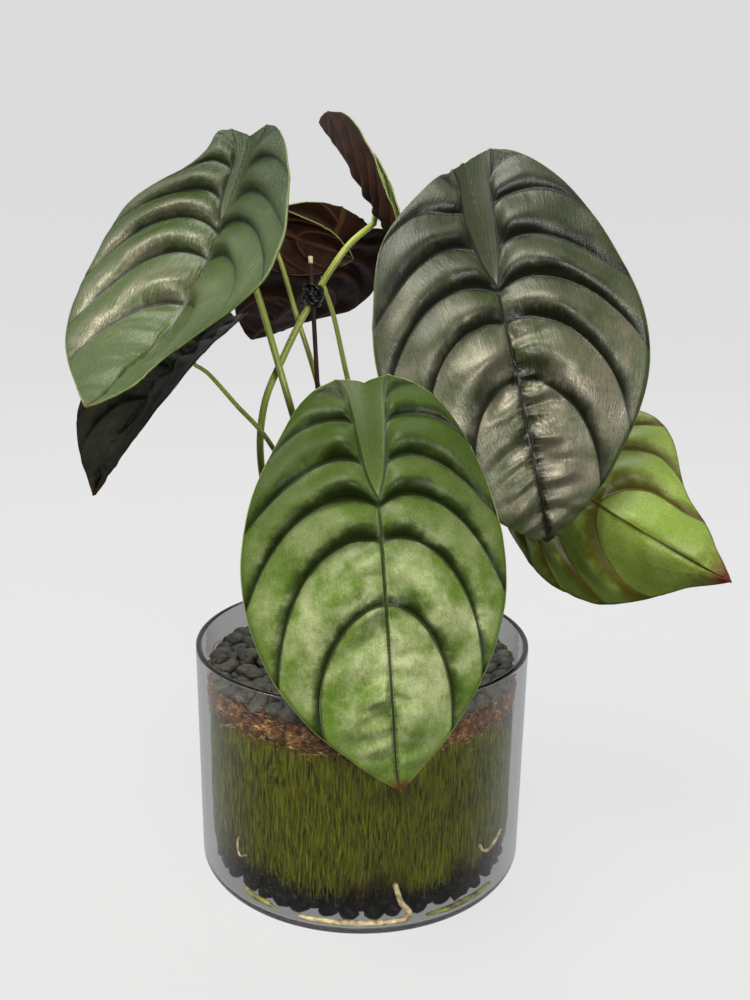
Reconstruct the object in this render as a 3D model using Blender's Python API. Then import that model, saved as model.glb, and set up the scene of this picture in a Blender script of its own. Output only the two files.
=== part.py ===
# Jewel alocasia in a clear glass vase, in metres, with the bottom centre of the vase at the origin

import math
import random

import bmesh
import bpy
import numpy as np
from mathutils import Euler, Vector

MM = 0.001

# Glass vase
VASE_RADIUS_RIM = 100.0
VASE_RADIUS_FOOT = 98.8
VASE_HEIGHT = 137.8
VASE_WALL = 3.2
VASE_FLOOR = 3.6
VASE_FOOT_ROUND = 5.0
VASE_STEPS = 48

# Layers in the vase, as radius and height
FILL_RADIUS = 91.2
GAP = 0.35
DRAIN_TOP = 22.5
MOSS_TOP = 107.5
COIR_TOP = 116.5
PEBBLE_BED_TOP = 120.2
SOIL_RADIUS = 84.0
SOIL_TOP = 112.0

# Leaf blades
BLADE = 0.85
HALF_OUTLINE = [
    (0.10, 0.445), (0.18, 0.415), (0.285, 0.315), (0.365, 0.18), (0.43, 0.0), (0.465, -0.2),
    (0.45, -0.4), (0.375, -0.6), (0.24, -0.8), (0.105, -0.93), (0.032, -0.982), (0.0, -1.0),
]
NOTCH_OUTLINE = [(0.0, 0.40), (0.045, 0.425), (0.10, 0.445)]
BASAL_RIB = [(0.10, 0.445), (0.07, 0.34), (0.055, 0.22), (0.035, 0.09), (0.0, 0.0)]

# Each side vein as a curve of four points, from the rib or midrib to the margin, in hub to tip lengths
VEINS = [
    [(0.07, 0.34), (0.10, 0.39), (0.16, 0.42), (0.21, 0.39)],
    [(0.057, 0.25), (0.10, 0.30), (0.28, 0.30), (0.37, 0.16)],
    [(0.04, 0.11), (0.12, 0.17), (0.27, 0.14), (0.44, -0.09)],
    [(0.0, -0.03), (0.10, 0.06), (0.32, 0.02), (0.455, -0.36)],
    [(0.0, -0.15), (0.14, -0.08), (0.36, -0.27), (0.35, -0.65)],
    [(0.0, -0.365), (0.12, -0.36), (0.26, -0.58), (0.21, -0.83)],
    [(0.0, -0.66), (0.06, -0.66), (0.13, -0.82), (0.10, -0.935)],
]
ROWS_BETWEEN = [1, 2, 2, 3, 3, 3, 2, 2]
COLUMNS = [0.0, 0.1, 0.3, 0.55, 0.78, 1.0]
QUILT_HEIGHT = 3.4
QUILT_SHARES = [0.0, 0.7, 0.9, 1.0, 1.0, 0.85, 0.5, 0.0]

# Pose of each blade: hub in mm, angles in degrees, widths as shares, pairs as left and right half
LEAVES = {
    "leaf_front": dict(
        hub=(8, -102, 246.4), face=10, tilt=20, spin=2, length=140, bend=11, base_bend=24,
        fold=(-13, -1), curl=(-6, -8), wide=(1.08, 0.97), base=1.12,
        shoulder=(-0.09, -0.01), flank=(0.05, -0.02), lobe=(-0.015, -0.015),
    ),
    "leaf_right": dict(
        hub=(70.2, -24, 346), face=6, tilt=19, spin=12, length=141.5, bend=17, base_bend=2,
        fold=(3, 6), curl=(8, 7), wide=(1.15, 1.11), base=1.25, shoulder_at=(0.42, 0.14),
        shoulder=(-0.5, -0.04), flank=(-0.08, -0.03), lobe=(-0.075, -0.02),
    ),
    "leaf_left": dict(
        hub=(-78, -20, 375), face=-26, tilt=23, spin=-7, length=132, bend=-47, base_bend=-2,
        fold=(21, 28), curl=(-24, -2), wide=(1.10, 1.20), base=0.99,
        shoulder=(-0.49, -0.06), flank=(0.04, -0.52), lobe=(-0.03, -0.01),
    ),
    "leaf_left_low": dict(
        hub=(-104, 15, 304), face=-50, tilt=53, spin=2, length=97, bend=24, base_bend=9,
        fold=(12, 12), curl=(10, 11), wide=(1.12, 0.99), base=1.0,
        shoulder=(0, 0), flank=(0.07, -0.27), lobe=(0, 0),
    ),
    "leaf_back_small": dict(
        hub=(-59, 28, 377), face=172, tilt=8, spin=-72, length=55, bend=8, base_bend=5,
        fold=(-12, -8), curl=(-70, -15), wide=(0.80, 0.85), base=1.0,
        shoulder=(0, 0), flank=(0, 0), lobe=(0, 0),
    ),
    "leaf_top_rolled": dict(
        hub=(5, 18, 386), face=14, tilt=50, spin=190, length=100, bend=10, base_bend=-10,
        fold=(98, 104), curl=(1, -6), wide=(0.75, 0.55), base=1.0,
        shoulder=(0, 0), flank=(-0.1, -0.3), lobe=(0, 0),
    ),
    "leaf_right_low": dict(
        hub=(104, 0, 243), face=-52, tilt=23, spin=73, length=120.5, bend=57, base_bend=8,
        fold=(-24, -25), curl=(-8, -7), wide=(1.21, 1.15), base=0.99,
        shoulder=(-0.02, 0), flank=(0.13, -0.06), lobe=(0, 0),
    ),
    "leaf_back": dict(
        hub=(-27.5, 55, 350), face=191, tilt=53, spin=23, length=100, bend=-14, base_bend=-24,
        fold=(19, 21), curl=(-17, 0), wide=(1.0, 1.07), base=1.17,
        shoulder=(0.05, 0.25), flank=(-0.33, -0.13), lobe=(-0.09, -0.035),
    ),
}

# Stems: radius at the foot and at the blade, foot in the soil, then points on the way to the hub
STEMS = {
    "stem_front": dict(
        leaf="leaf_front", radius=(2.6, 1.9), foot=(-3, -23),
        way=[(-1, -30, 170), (3, -58, 222)],
    ),
    "stem_right": dict(
        leaf="leaf_right", radius=(2.6, 1.9), foot=(15, -12),
        way=[(22, -9, 200), (48, -6, 290), (64, -18, 334)],
    ),
    "stem_left": dict(
        leaf="leaf_left", nearer=0.8, radius=(2.4, 1.8), foot=(-6, -12),
        way=[(-20, -12, 200), (-40.7, -10, 273), (-50.5, -8, 307), (-60.8, -2, 340), (-69, -4, 362)],
    ),
    "stem_left_low": dict(
        leaf="leaf_left_low", radius=(2.0, 1.2), foot=(-23, 9),
        way=[(-30, 4, 200), (-53, -4, 253), (-75, 3, 277), (-92, 14, 293)],
    ),
    "stem_back_small": dict(
        leaf="leaf_back_small", radius=(2.0, 1.3), foot=(-4, 7),
        way=[(-12, 11, 220), (-28, 15, 287), (-40, 16, 326), (-50.5, 15, 361)],
    ),
    "stem_top_rolled": dict(
        leaf="leaf_top_rolled", radius=(2.4, 1.8), foot=(-33, -2),
        way=[(-50, 1, 190), (-60.4, 2, 240), (-58.5, 2, 276), (-46.5, 4, 306),
             (-32, 8, 334.5), (-12.4, 11, 365)],
    ),
    "stem_right_low": dict(
        leaf="leaf_right_low", radius=(2.4, 1.7), foot=(25, 3),
        way=[(48, 28, 165), (76, 56, 212), (92, 50, 230), (105, 24, 234)],
    ),
    "stem_back": dict(
        leaf="leaf_back", radius=(2.1, 1.4), foot=(10, 19),
        way=[(6, 24, 220), (-11.4, 34, 290), (-20, 45, 325)],
    ),
}
STEM_FOOT_Z = 100.0
STEM_FREE_Z = 131.0
STEM_SIDES = 8
STEM_RINGS = 12

# Support stick and its clip
STICK_RADIUS = 1.4
STICK_FOOT = (-17, -3, 100)
STICK_TIP = (-31.5, 2.8, 361)
CLIP_CENTRE = (-30.2, 5.2, 340)


def material(name, color, rough, metal=0.0, glass=0.0):
    made = bpy.data.materials.new(name)
    made.use_nodes = True
    shader = made.node_tree.nodes["Principled BSDF"]
    shader.inputs["Base Color"].default_value = (*color, 1.0)
    shader.inputs["Roughness"].default_value = rough
    shader.inputs["Metallic"].default_value = metal
    shader.inputs["Transmission Weight"].default_value = glass
    made.diffuse_color = (*color, 1.0)
    return made


def add_object(name, bm, mat, smooth=True):
    mesh = bpy.data.meshes.new(name)
    bm.to_mesh(mesh)
    bm.free()
    made = bpy.data.objects.new(name, mesh)
    bpy.context.scene.collection.objects.link(made)
    mesh.materials.append(mat)
    for face in mesh.polygons:
        face.use_smooth = smooth
    return made


def apply_modifiers(target):
    graph = bpy.context.evaluated_depsgraph_get()
    done = bpy.data.meshes.new_from_object(target.evaluated_get(graph))
    target.modifiers.clear()
    target.data = done


def curve_through(points, count):
    """Even samples along a smooth curve through the points"""
    given = np.asarray(points, float)
    ends = np.vstack([2 * given[0] - given[1], given, 2 * given[-1] - given[-2]])
    dense = []
    for i in range(1, len(ends) - 2):
        a, b, c, d = ends[i - 1:i + 3]
        for t in np.linspace(0, 1, 20, endpoint=False):
            dense.append(0.5 * (2 * b + (c - a) * t + (2 * a - 5 * b + 4 * c - d) * t * t
                                + (3 * b - a - 3 * c + d) * t ** 3))
    dense.append(given[-1])
    dense = np.array(dense)
    run = np.concatenate([[0], np.cumsum(np.linalg.norm(np.diff(dense, axis=0), axis=1))])
    at = np.linspace(0, run[-1], count)
    return np.stack([np.interp(at, run, dense[:, k]) for k in range(dense.shape[1])], -1)


def leaf_axes(leaf):
    """Directions from hub to tip, to the right half, and out of the upper face"""
    turn, lean, spin = (math.radians(leaf[key]) for key in ("face", "tilt", "spin"))
    out = Vector((math.sin(turn) * math.cos(lean), -math.cos(turn) * math.cos(lean), math.sin(lean)))
    down = Vector((math.sin(turn) * math.sin(lean), -math.cos(turn) * math.sin(lean), -math.cos(lean)))
    across = out.cross(down)
    along = math.cos(spin) * down + math.sin(spin) * across
    return along, out.cross(along), out


def arc(turn, run):
    """How far on and how far down a run gets that turns by this much per mm"""
    if abs(turn) < 1e-6:
        return run, 0.0
    return math.sin(turn * run) / turn, (1 - math.cos(turn * run)) / turn


def blade_point(leaf, axes, x, y, lift):
    """A template point on the bent, folded and curled blade, in mm, raised along its upper face"""
    along, side, out = axes
    length = leaf["length"]
    half = 1 if x > 0 else 0
    sign = 1 if x > 0 else -1
    wide = leaf["wide"][half]
    shoulder_y, shoulder_run = leaf.get("shoulder_at", (0.30, 0.17))
    wide *= 1 + leaf["shoulder"][half] * math.exp(-((y - shoulder_y) / shoulder_run) ** 2) \
        + leaf["flank"][half] * math.exp(-((y + 0.72) / 0.2) ** 2)
    over = abs(x) * length * wide
    lobe = leaf["lobe"][half] * math.exp(-((abs(x) - 0.12) / 0.09) ** 2) * min(max((y - 0.15) / 0.25, 0), 1)
    run = -((y * leaf["base"] if y > 0 else y) + lobe) * length
    tip_turn = math.radians(leaf["bend"]) / length
    base_turn = math.radians(leaf["base_bend"]) / (0.45 * length)
    on_tip, down_tip = arc(tip_turn, max(run, 0))
    on_base, down_base = arc(base_turn, max(-run, 0))
    turned = tip_turn * max(run, 0) - base_turn * max(-run, 0)
    up = math.cos(turned) * out + math.sin(turned) * along
    spine = Vector(leaf["hub"]) + (on_tip - on_base) * along - (down_tip + down_base) * out
    fold = math.radians(leaf["fold"][half])
    curl = math.radians(leaf["curl"][half]) / (0.465 * length)
    curl = curl if abs(curl) > 1e-6 else 1e-6
    end = fold + curl * over
    reach = (math.sin(end) - math.sin(fold)) / curl
    rise = (math.cos(fold) - math.cos(end)) / curl
    normal = math.cos(end) * up - sign * math.sin(end) * side
    return spine + sign * reach * side + rise * up + lift * normal


def bezier(points, t):
    a, b, c, d = (np.array(p) for p in points)
    return (1 - t) ** 3 * a + 3 * (1 - t) ** 2 * t * b + 3 * (1 - t) * t * t * c + t ** 3 * d


def quilt_rows():
    """Template rows from the lobe to the tip: each one's curve, its place between two veins, which two"""
    lobe = np.array([HALF_OUTLINE[0]] * 4)
    tip = np.array([HALF_OUTLINE[-1]] * 4)
    curves = [lobe] + [np.array(vein) for vein in VEINS] + [tip]
    margin = curve_through(HALF_OUTLINE, 300)
    rib = curve_through(BASAL_RIB, 100)
    rows = []
    for i, steps in enumerate(ROWS_BETWEEN):
        for k in range(steps):
            share = k / steps
            rows.append((curves[i] * (1 - share) + curves[i + 1] * share, share, i))
    rows.append((tip.copy(), 0.0, len(ROWS_BETWEEN)))
    for points, share, i in rows:
        points[3] = margin[int(np.linalg.norm(margin - points[3], axis=1).argmin())]
        if points[0][1] > 0:
            points[0] = rib[int(np.linalg.norm(rib - points[0], axis=1).argmin())]
        else:
            points[0][0] = 0.0
    return rows


def quilt_lift(share, column, i, scale):
    """Height of the quilt over the veins: sharp at a vein, round between two, low at the margin"""
    if share == 0:
        return 0.0
    tall = QUILT_SHARES[i] * math.sin(math.pi * share) ** 0.8
    rise = 1 - math.exp(-column / 0.09)
    fade = 1 - 0.9 * max(0.0, (column - 0.6) / 0.4) ** 1.5
    return QUILT_HEIGHT * scale * tall * rise * fade


def faces_between(bm, grid):
    for above, below in zip(grid, grid[1:]):
        for k in range(len(above) - 1):
            bm.faces.new([above[k], above[k + 1], below[k + 1], below[k]])


def make_leaf(name, leaf, mat):
    axes = leaf_axes(leaf)
    scale = leaf["length"] / 137.0
    rows = quilt_rows()
    notch = curve_through(NOTCH_OUTLINE, 3)
    bm = bmesh.new()
    for sign in (1, -1):
        outer = []
        for points, share, i in rows:
            line = []
            for column in COLUMNS:
                x, y = bezier(points, column)
                lift = quilt_lift(share, column, i, scale)
                line.append(bm.verts.new(blade_point(leaf, axes, sign * max(x, 1e-7), y, lift)))
            outer.append(line)
        faces_between(bm, outer)
        rib = [points[0] for points, share, i in rows if points[0][1] > 0]
        rib.append(np.array([0.0, VEINS[3][0][1]]))
        inner = []
        for k, (rib_x, rib_y) in enumerate(rib):
            middle = 0.40 + (rib[-1][1] - 0.40) * k / (len(rib) - 1)
            line = []
            for column in (0.0, 0.5, 1.0):
                x = rib_x * (1 - column)
                y = rib_y * (1 - column) + middle * column
                if k == 0:
                    x, y = notch[2 - int(column * 2)]
                lift = 1.4 * scale * math.sin(math.pi * column) if k else 0.0
                line.append(bm.verts.new(blade_point(leaf, axes, sign * max(x, 1e-7), y, lift)))
            inner.append(line)
        faces_between(bm, inner)
    bmesh.ops.remove_doubles(bm, verts=bm.verts, dist=0.01)
    bmesh.ops.dissolve_degenerate(bm, edges=bm.edges, dist=0.01)
    bmesh.ops.triangulate(bm, faces=bm.faces)
    bmesh.ops.recalc_face_normals(bm, faces=bm.faces)
    bm.normal_update()
    middle = min(bm.faces, key=lambda f: (f.calc_center_median() - Vector(leaf["hub"])).length)
    if middle.normal.dot(axes[2]) < 0:
        bmesh.ops.reverse_faces(bm, faces=bm.faces)
        bm.normal_update()
    upper = [(vert.co.copy(), vert.normal.copy()) for vert in bm.verts]
    made = bmesh.ops.extrude_face_region(bm, geom=bm.faces[:], use_keep_orig=True)
    for vert in (part for part in made["geom"] if isinstance(part, bmesh.types.BMVert)):
        nearest = min(upper, key=lambda pair: (pair[0] - vert.co).length_squared)
        vert.co -= BLADE * nearest[1]
    bmesh.ops.triangulate(bm, faces=bm.faces)
    bmesh.ops.recalc_face_normals(bm, faces=bm.faces)
    bmesh.ops.scale(bm, vec=(MM, MM, MM), verts=bm.verts)
    return add_object(name, bm, mat)


def make_tube(name, points, radii, mat, sides=8):
    """A round stem along points in mm, as a bevelled curve with capped ends"""
    data = bpy.data.curves.new(name, "CURVE")
    data.dimensions = "3D"
    data.bevel_depth = MM
    data.bevel_resolution = sides // 4 - 1
    data.use_fill_caps = True
    line = data.splines.new("POLY")
    line.points.add(len(points) - 1)
    for k, point in enumerate(points):
        line.points[k].co = (*(MM * c for c in point), 1.0)
        line.points[k].radius = radii[k]
    curve = bpy.data.objects.new(name + "_line", data)
    bpy.context.scene.collection.objects.link(curve)
    graph = bpy.context.evaluated_depsgraph_get()
    mesh = bpy.data.meshes.new_from_object(curve.evaluated_get(graph))
    bpy.data.objects.remove(curve)
    bm = bmesh.new()
    bm.from_mesh(mesh)
    bmesh.ops.remove_doubles(bm, verts=bm.verts, dist=1e-6)
    bmesh.ops.recalc_face_normals(bm, faces=bm.faces)
    return add_object(name, bm, mat)


def stem_points(stem, count):
    leaf = LEAVES[stem["leaf"]]
    out = leaf_axes(leaf)[2]
    slope = math.tan(math.radians(max(0, -min(leaf["fold"]))))
    end = Vector(leaf["hub"]) - (BLADE + GAP + stem["radius"][1] * slope - stem.get("nearer", 0)) * out
    before = end - 7 * out
    x, y = stem["foot"]
    given = [(x, y, STEM_FREE_Z)] + stem["way"] + [tuple(before)]
    return [(x, y, STEM_FOOT_Z)] + [tuple(p) for p in curve_through(given, count)] + [tuple(end)]


def make_stem(name, stem, mat, count=STEM_RINGS):
    points = stem_points(stem, count)
    foot, top = stem["radius"]
    radii = [foot + (top - foot) * k / (count + 1) for k in range(count + 2)]
    return make_tube(name, points, radii, mat, STEM_SIDES)


def make_spun(name, profile, steps, mat):
    """A closed turned body from a half profile of radius and height in mm"""
    bm = bmesh.new()
    verts = [bm.verts.new((MM * r, 0, MM * z)) for r, z in profile]
    edges = [bm.edges.new(pair) for pair in zip(verts, verts[1:] + verts[:1])]
    bmesh.ops.spin(bm, geom=verts + edges, cent=(0, 0, 0), axis=(0, 0, 1), angle=2 * math.pi,
                   steps=steps, use_merge=True)
    bmesh.ops.remove_doubles(bm, verts=bm.verts, dist=1e-6)
    bmesh.ops.dissolve_degenerate(bm, edges=bm.edges, dist=1e-6)
    bmesh.ops.recalc_face_normals(bm, faces=bm.faces)
    return add_object(name, bm, mat)


def quarter(cx, cz, radius, start, end, count):
    """Points of a round corner, angles in degrees"""
    turns = [math.radians(start + (end - start) * k / count) for k in range(count + 1)]
    return [(cx + radius * math.cos(t), cz + radius * math.sin(t)) for t in turns]


def make_vase(mat):
    foot = quarter(VASE_RADIUS_FOOT - VASE_FOOT_ROUND, VASE_FOOT_ROUND, VASE_FOOT_ROUND, -90, 0, 4)
    lip = VASE_WALL / 2
    rim = quarter(VASE_RADIUS_RIM - lip, VASE_HEIGHT - lip, lip, 0, 180, 4)
    inner_foot = VASE_RADIUS_FOOT - VASE_WALL
    corner = quarter(inner_foot - 2, VASE_FLOOR + 2, 2, 0, -90, 2)
    profile = [(0, 0)] + foot + rim + corner + [(0, VASE_FLOOR)]
    return make_spun("glass_vase", profile, VASE_STEPS, mat)


def ridged(target, inner, count, height, seed):
    """Cuts upright furrows into the outer wall of a turned body, by its angle"""
    draw = random.Random(seed)
    shifts = [draw.uniform(0, 2 * math.pi) for _ in range(2)]
    for vert in target.data.vertices:
        x, y, z = vert.co
        radius = math.hypot(x, y)
        if radius < inner * MM:
            continue
        turn = math.atan2(y, x)
        wave = math.sin(count * turn + shifts[0]) + 0.6 * math.sin((count // 3) * turn + shifts[1] + z * 60)
        factor = 1 + height * MM * (wave - 1.6) / 3.2 / radius
        vert.co.x = x * factor
        vert.co.y = y * factor


def pebble(where, half, turn, sides, rings, mat, group):
    """One flattened stone, in mm, linked to the group for a later join"""
    bm = bmesh.new()
    bmesh.ops.create_uvsphere(bm, u_segments=sides, v_segments=rings, radius=1)
    bmesh.ops.scale(bm, vec=[MM * h for h in half], verts=bm.verts)
    bmesh.ops.rotate(bm, cent=(0, 0, 0), matrix=Euler(turn).to_matrix(), verts=bm.verts)
    bmesh.ops.translate(bm, vec=[MM * c for c in where], verts=bm.verts)
    made = add_object("stone", bm, mat)
    bpy.context.scene.collection.objects.unlink(made)
    group.objects.link(made)


def join_group(target, group):
    """Fuses the objects of a group into the target and removes them"""
    union = target.modifiers.new("join", "BOOLEAN")
    union.operation = "UNION"
    union.operand_type = "COLLECTION"
    union.collection = group
    union.solver = "MANIFOLD"
    apply_modifiers(target)
    for member in list(group.objects):
        bpy.data.objects.remove(member)
    bpy.data.collections.remove(group)


def cut(target, cutter):
    """Takes the cutter's shape out of the target"""
    cutter.hide_render = True
    cutter.display_type = "WIRE"
    away = target.modifiers.new("cut", "BOOLEAN")
    away.operation = "DIFFERENCE"
    away.solver = "EXACT"
    away.object = cutter
    apply_modifiers(target)
    bpy.data.objects.remove(cutter)


def merge_flat(target):
    """Joins triangles that lie flat with each other"""
    bm = bmesh.new()
    bm.from_mesh(target.data)
    bmesh.ops.dissolve_limit(bm, angle_limit=math.radians(0.5), verts=bm.verts, edges=bm.edges)
    bmesh.ops.triangulate(bm, faces=bm.faces)
    bm.to_mesh(target.data)
    bm.free()


def new_group(name):
    group = bpy.data.collections.new(name)
    bpy.context.scene.collection.children.link(group)
    return group


def stem_cutter(mat):
    """One upright hole for every stem and for the stick"""
    bm = bmesh.new()
    holes = [(*stem["foot"], stem["radius"][0]) for stem in STEMS.values()]
    holes.append((STICK_FOOT[0] - 0.9, STICK_FOOT[1] + 0.3, STICK_RADIUS + 0.9))
    for x, y, radius in holes:
        made = bmesh.ops.create_cone(bm, cap_ends=True, segments=10, radius1=MM * (radius + GAP + 0.2),
                                     radius2=MM * (radius + GAP + 0.2), depth=0.045)
        bmesh.ops.translate(bm, vec=(MM * x, MM * y, MM * (STEM_FOOT_Z - GAP) + 0.0225), verts=made["verts"])
    return add_object("holes", bm, mat)


def top_stones(mat):
    draw = random.Random(11)
    bed = make_spun("top_pebbles", [(0, COIR_TOP + GAP), (90, COIR_TOP + GAP), (91.5, COIR_TOP + 1.6),
                                    (90, PEBBLE_BED_TOP), (0, PEBBLE_BED_TOP + 1)], 24, mat)
    group = new_group("stones")
    for radius, count in ((86.3, 23), (67.5, 17), (49, 12), (30.5, 7), (12, 3)):
        start = draw.uniform(0, 2 * math.pi)
        for k in range(count):
            turn = start + 2 * math.pi * (k + draw.uniform(-0.06, 0.06)) / count
            r = radius + draw.uniform(-0.8, 0.8)
            where = (r * math.cos(turn), r * math.sin(turn), PEBBLE_BED_TOP + 3 + draw.uniform(-0.5, 0.8))
            half = (draw.uniform(7.4, 8.3), draw.uniform(9.4, 10.4), draw.uniform(4.0, 4.6))
            tips = (draw.uniform(-0.14, 0.14), draw.uniform(-0.14, 0.14), turn + draw.uniform(-0.2, 0.2))
            pebble(where, half, tips, 6, 3, mat, group)
    join_group(bed, group)
    merge_flat(bed)
    return bed


def bottom_stones(mat):
    draw = random.Random(5)
    low = VASE_FLOOR + GAP
    bed = make_spun("drainage_pebbles", [(0, low), (82.6, low), (83.6, low + 1), (83.6, DRAIN_TOP),
                                         (0, DRAIN_TOP)], 25, mat)
    group = new_group("stones")
    for z, count in ((low + 5.2, 25), (low + 13.2, 24)):
        start = draw.uniform(0, 2 * math.pi)
        for k in range(count):
            turn = start + 2 * math.pi * (k + draw.uniform(-0.04, 0.04)) / count
            half = (6.6, draw.uniform(9.2, 9.9), draw.uniform(4.0, 4.3))
            where = (84.2 * math.cos(turn), 84.2 * math.sin(turn), z + draw.uniform(0, 0.5))
            pebble(where, half, (draw.uniform(-0.3, 0.3), 0, turn), 6, 3, mat, group)
    join_group(bed, group)
    merge_flat(bed)
    return bed


def root(name, points, radii, mat, sides=8, count=16):
    line = curve_through(points, count)
    share = np.linspace(0, len(radii) - 1, count)
    sizes = np.interp(share, range(len(radii)), radii)
    return make_tube(name, [tuple(p) for p in line], list(sizes), mat, sides)


def on_wall(radius, degrees, z):
    """A point by radius, angle from the front towards the right, and height"""
    turn = math.radians(degrees - 90)
    return (radius * math.cos(turn), radius * math.sin(turn), z)


def make_clip(stick_line, stem_line, mat):
    """A knobby block of tie wound round stick and stem, with a plain hole for each"""
    draw = random.Random(3)
    bm = bmesh.new()
    bmesh.ops.create_uvsphere(bm, u_segments=10, v_segments=6, radius=1)
    bmesh.ops.scale(bm, vec=[MM * h for h in (6.2, 6.4, 5.2)], verts=bm.verts)
    bmesh.ops.translate(bm, vec=[MM * c for c in CLIP_CENTRE], verts=bm.verts)
    clip = add_object("stem_clip", bm, mat)
    group = new_group("knobs")
    for k in range(8):
        turn = 2 * math.pi * k / 8
        rise = 3.4 * math.sin(2.4 * k)
        where = (CLIP_CENTRE[0] + 5.4 * math.cos(turn), CLIP_CENTRE[1] + 5.4 * math.sin(turn),
                 CLIP_CENTRE[2] + rise)
        size = draw.uniform(2.0, 2.8)
        pebble(where, (size, size, size), (turn, rise, 0), 6, 3, mat, group)
    join_group(clip, group)
    for name, line, radius in (("a", stick_line, STICK_RADIUS + 0.4), ("b", stem_line, 2.05 + 0.35)):
        cut(clip, make_tube("bore_" + name, line, [radius] * len(line), mat, 8))
    return clip


def build():
    for old in list(bpy.data.objects):
        bpy.data.objects.remove(old)
    glass = material("clear_glass", (0.93, 0.96, 0.95), 0.02, glass=1.0)
    stone = material("black_pebble", (0.035, 0.035, 0.036), 0.55)
    moss = material("green_moss", (0.13, 0.2, 0.02), 0.9)
    coir = material("brown_coir", (0.16, 0.07, 0.03), 0.95)
    soil = material("dark_soil", (0.04, 0.022, 0.012), 0.95)
    pale = material("pale_root", (0.6, 0.5, 0.32), 0.6)
    lime = material("lime_root", (0.3, 0.4, 0.06), 0.6)
    stalk = material("green_stem", (0.25, 0.34, 0.06), 0.45)
    bark = material("stick_wood", (0.06, 0.02, 0.015), 0.7)
    tie = material("black_clip", (0.008, 0.008, 0.009), 0.25)
    blades = {
        "leaf_front": material("leaf_green", (0.1, 0.22, 0.04), 0.35),
        "leaf_right": material("leaf_silver", (0.16, 0.18, 0.12), 0.3),
        "leaf_left_low": material("leaf_dark", (0.02, 0.03, 0.02), 0.3),
        "leaf_right_low": material("leaf_lime", (0.16, 0.25, 0.03), 0.4),
        "leaf_back": material("leaf_maroon", (0.05, 0.015, 0.012), 0.5),
    }
    blades["leaf_left"] = blades["leaf_right"]
    blades["leaf_back_small"] = blades["leaf_back"]
    blades["leaf_top_rolled"] = blades["leaf_back"]

    make_vase(glass)
    bottom_stones(stone)
    low = DRAIN_TOP + 1.4
    core = make_spun("soil_core", [(0, low), (SOIL_RADIUS, low), (SOIL_RADIUS, SOIL_TOP), (0, SOIL_TOP)],
                     24, soil)
    sleeve_half = [
        (SOIL_RADIUS + GAP, low), (FILL_RADIUS - 1, low), (FILL_RADIUS, low + 3), (FILL_RADIUS, 65),
        (FILL_RADIUS, MOSS_TOP - 2), (FILL_RADIUS - 1.5, MOSS_TOP), (SOIL_RADIUS + GAP, MOSS_TOP),
    ]
    sleeve = make_spun("moss_sleeve", sleeve_half, 72, moss)
    ridged(sleeve, SOIL_RADIUS + 3, 28, 1.2, 2)
    step = MOSS_TOP + GAP
    collar = make_spun("coir_collar", [(0, SOIL_TOP + GAP), (SOIL_RADIUS + GAP, SOIL_TOP + GAP),
                                       (SOIL_RADIUS + GAP, step), (92.0, step), (92.8, step + 5),
                                       (90.8, COIR_TOP), (0, COIR_TOP)], 48, coir)
    ridged(collar, SOIL_RADIUS + 3, 16, 1.6, 8)
    stones = top_stones(stone)
    for target in (core, collar, stones):
        cut(target, stem_cutter(soil))

    for name, stem in STEMS.items():
        make_stem(name, stem, stalk)
    for name, leaf in LEAVES.items():
        make_leaf(name, leaf, blades[name])

    stick = [STICK_FOOT, tuple((a + b) / 2 for a, b in zip(STICK_FOOT, STICK_TIP)), STICK_TIP]
    make_tube("support_stick", stick, [STICK_RADIUS] * 3, bark, 8)
    make_clip(stick, stem_points(STEMS["stem_top_rolled"], STEM_RINGS), tie)

    make_roots(sleeve, pale, lime)


def make_roots(sleeve, pale, lime):
    floor = VASE_FLOOR + GAP + 1.7
    main = [
        on_wall(87, 12.5, 27.2), on_wall(91, 12.8, 27), on_wall(93.5, 13.3, 24),
        on_wall(93.4, 14.6, 17), on_wall(93.0, 17.5, 10.5), on_wall(93.0, 16.5, 6.5),
        on_wall(93, 12, floor), on_wall(93, 4, floor), on_wall(93, -5, floor),
        on_wall(93, -14, floor), on_wall(92.8, -21, floor),
    ]
    root("root_main", main, [1.6, 1.6, 1.65, 1.6, 1.5, 0.9], pale, 8, 26)
    bore = [on_wall(r, 12.7, 27) for r in (85.4, 90, 94)]
    cut(sleeve, make_tube("bore_root", bore, [2.6, 2.6, 2.6], lime, 8))
    right = [on_wall(92.6, 24, floor), on_wall(93, 31, floor), on_wall(93.2, 38, floor + 0.3),
             on_wall(93, 46, floor), on_wall(92.6, 54, floor + 0.2)]
    root("root_right", right, [0.8, 1.5, 1.6, 1.4, 0.8], lime, 8, 14)
    left = [on_wall(92.8, -43, floor + 4), on_wall(92.8, -40, floor + 2.2), on_wall(92.8, -36, floor + 1.6),
            on_wall(92.8, -31.5, floor + 1.2), on_wall(92.8, -29, floor - 0.9)]
    root("root_left", left, [1.0, 1.4, 1.5, 1.3, 0.7], lime, 8, 12)
    high = [on_wall(92.8, 47, 36), on_wall(92.9, 49, 31), on_wall(93.0, 53, 29.4), on_wall(92.9, 58, 32),
            on_wall(92.8, 62, 34)]
    root("root_fine_right", high, [0.7, 0.9, 1.0, 0.9, 0.6], pale, 6, 12)
    thin = [on_wall(92.1, -47, 39), on_wall(92.1, -48, 33), on_wall(92.2, -46.5, 27.5),
            on_wall(92.1, -43, 30)]
    root("root_fine_left", thin, [0.6, 0.7, 0.7, 0.6], pale, 6, 10)


build()
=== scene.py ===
# Looks of the jewel alocasia in its glass vase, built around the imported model
import functools
import math
import random

import bmesh
import bpy
import numpy as np
from mathutils import Euler, Matrix, Vector, noise


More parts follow.
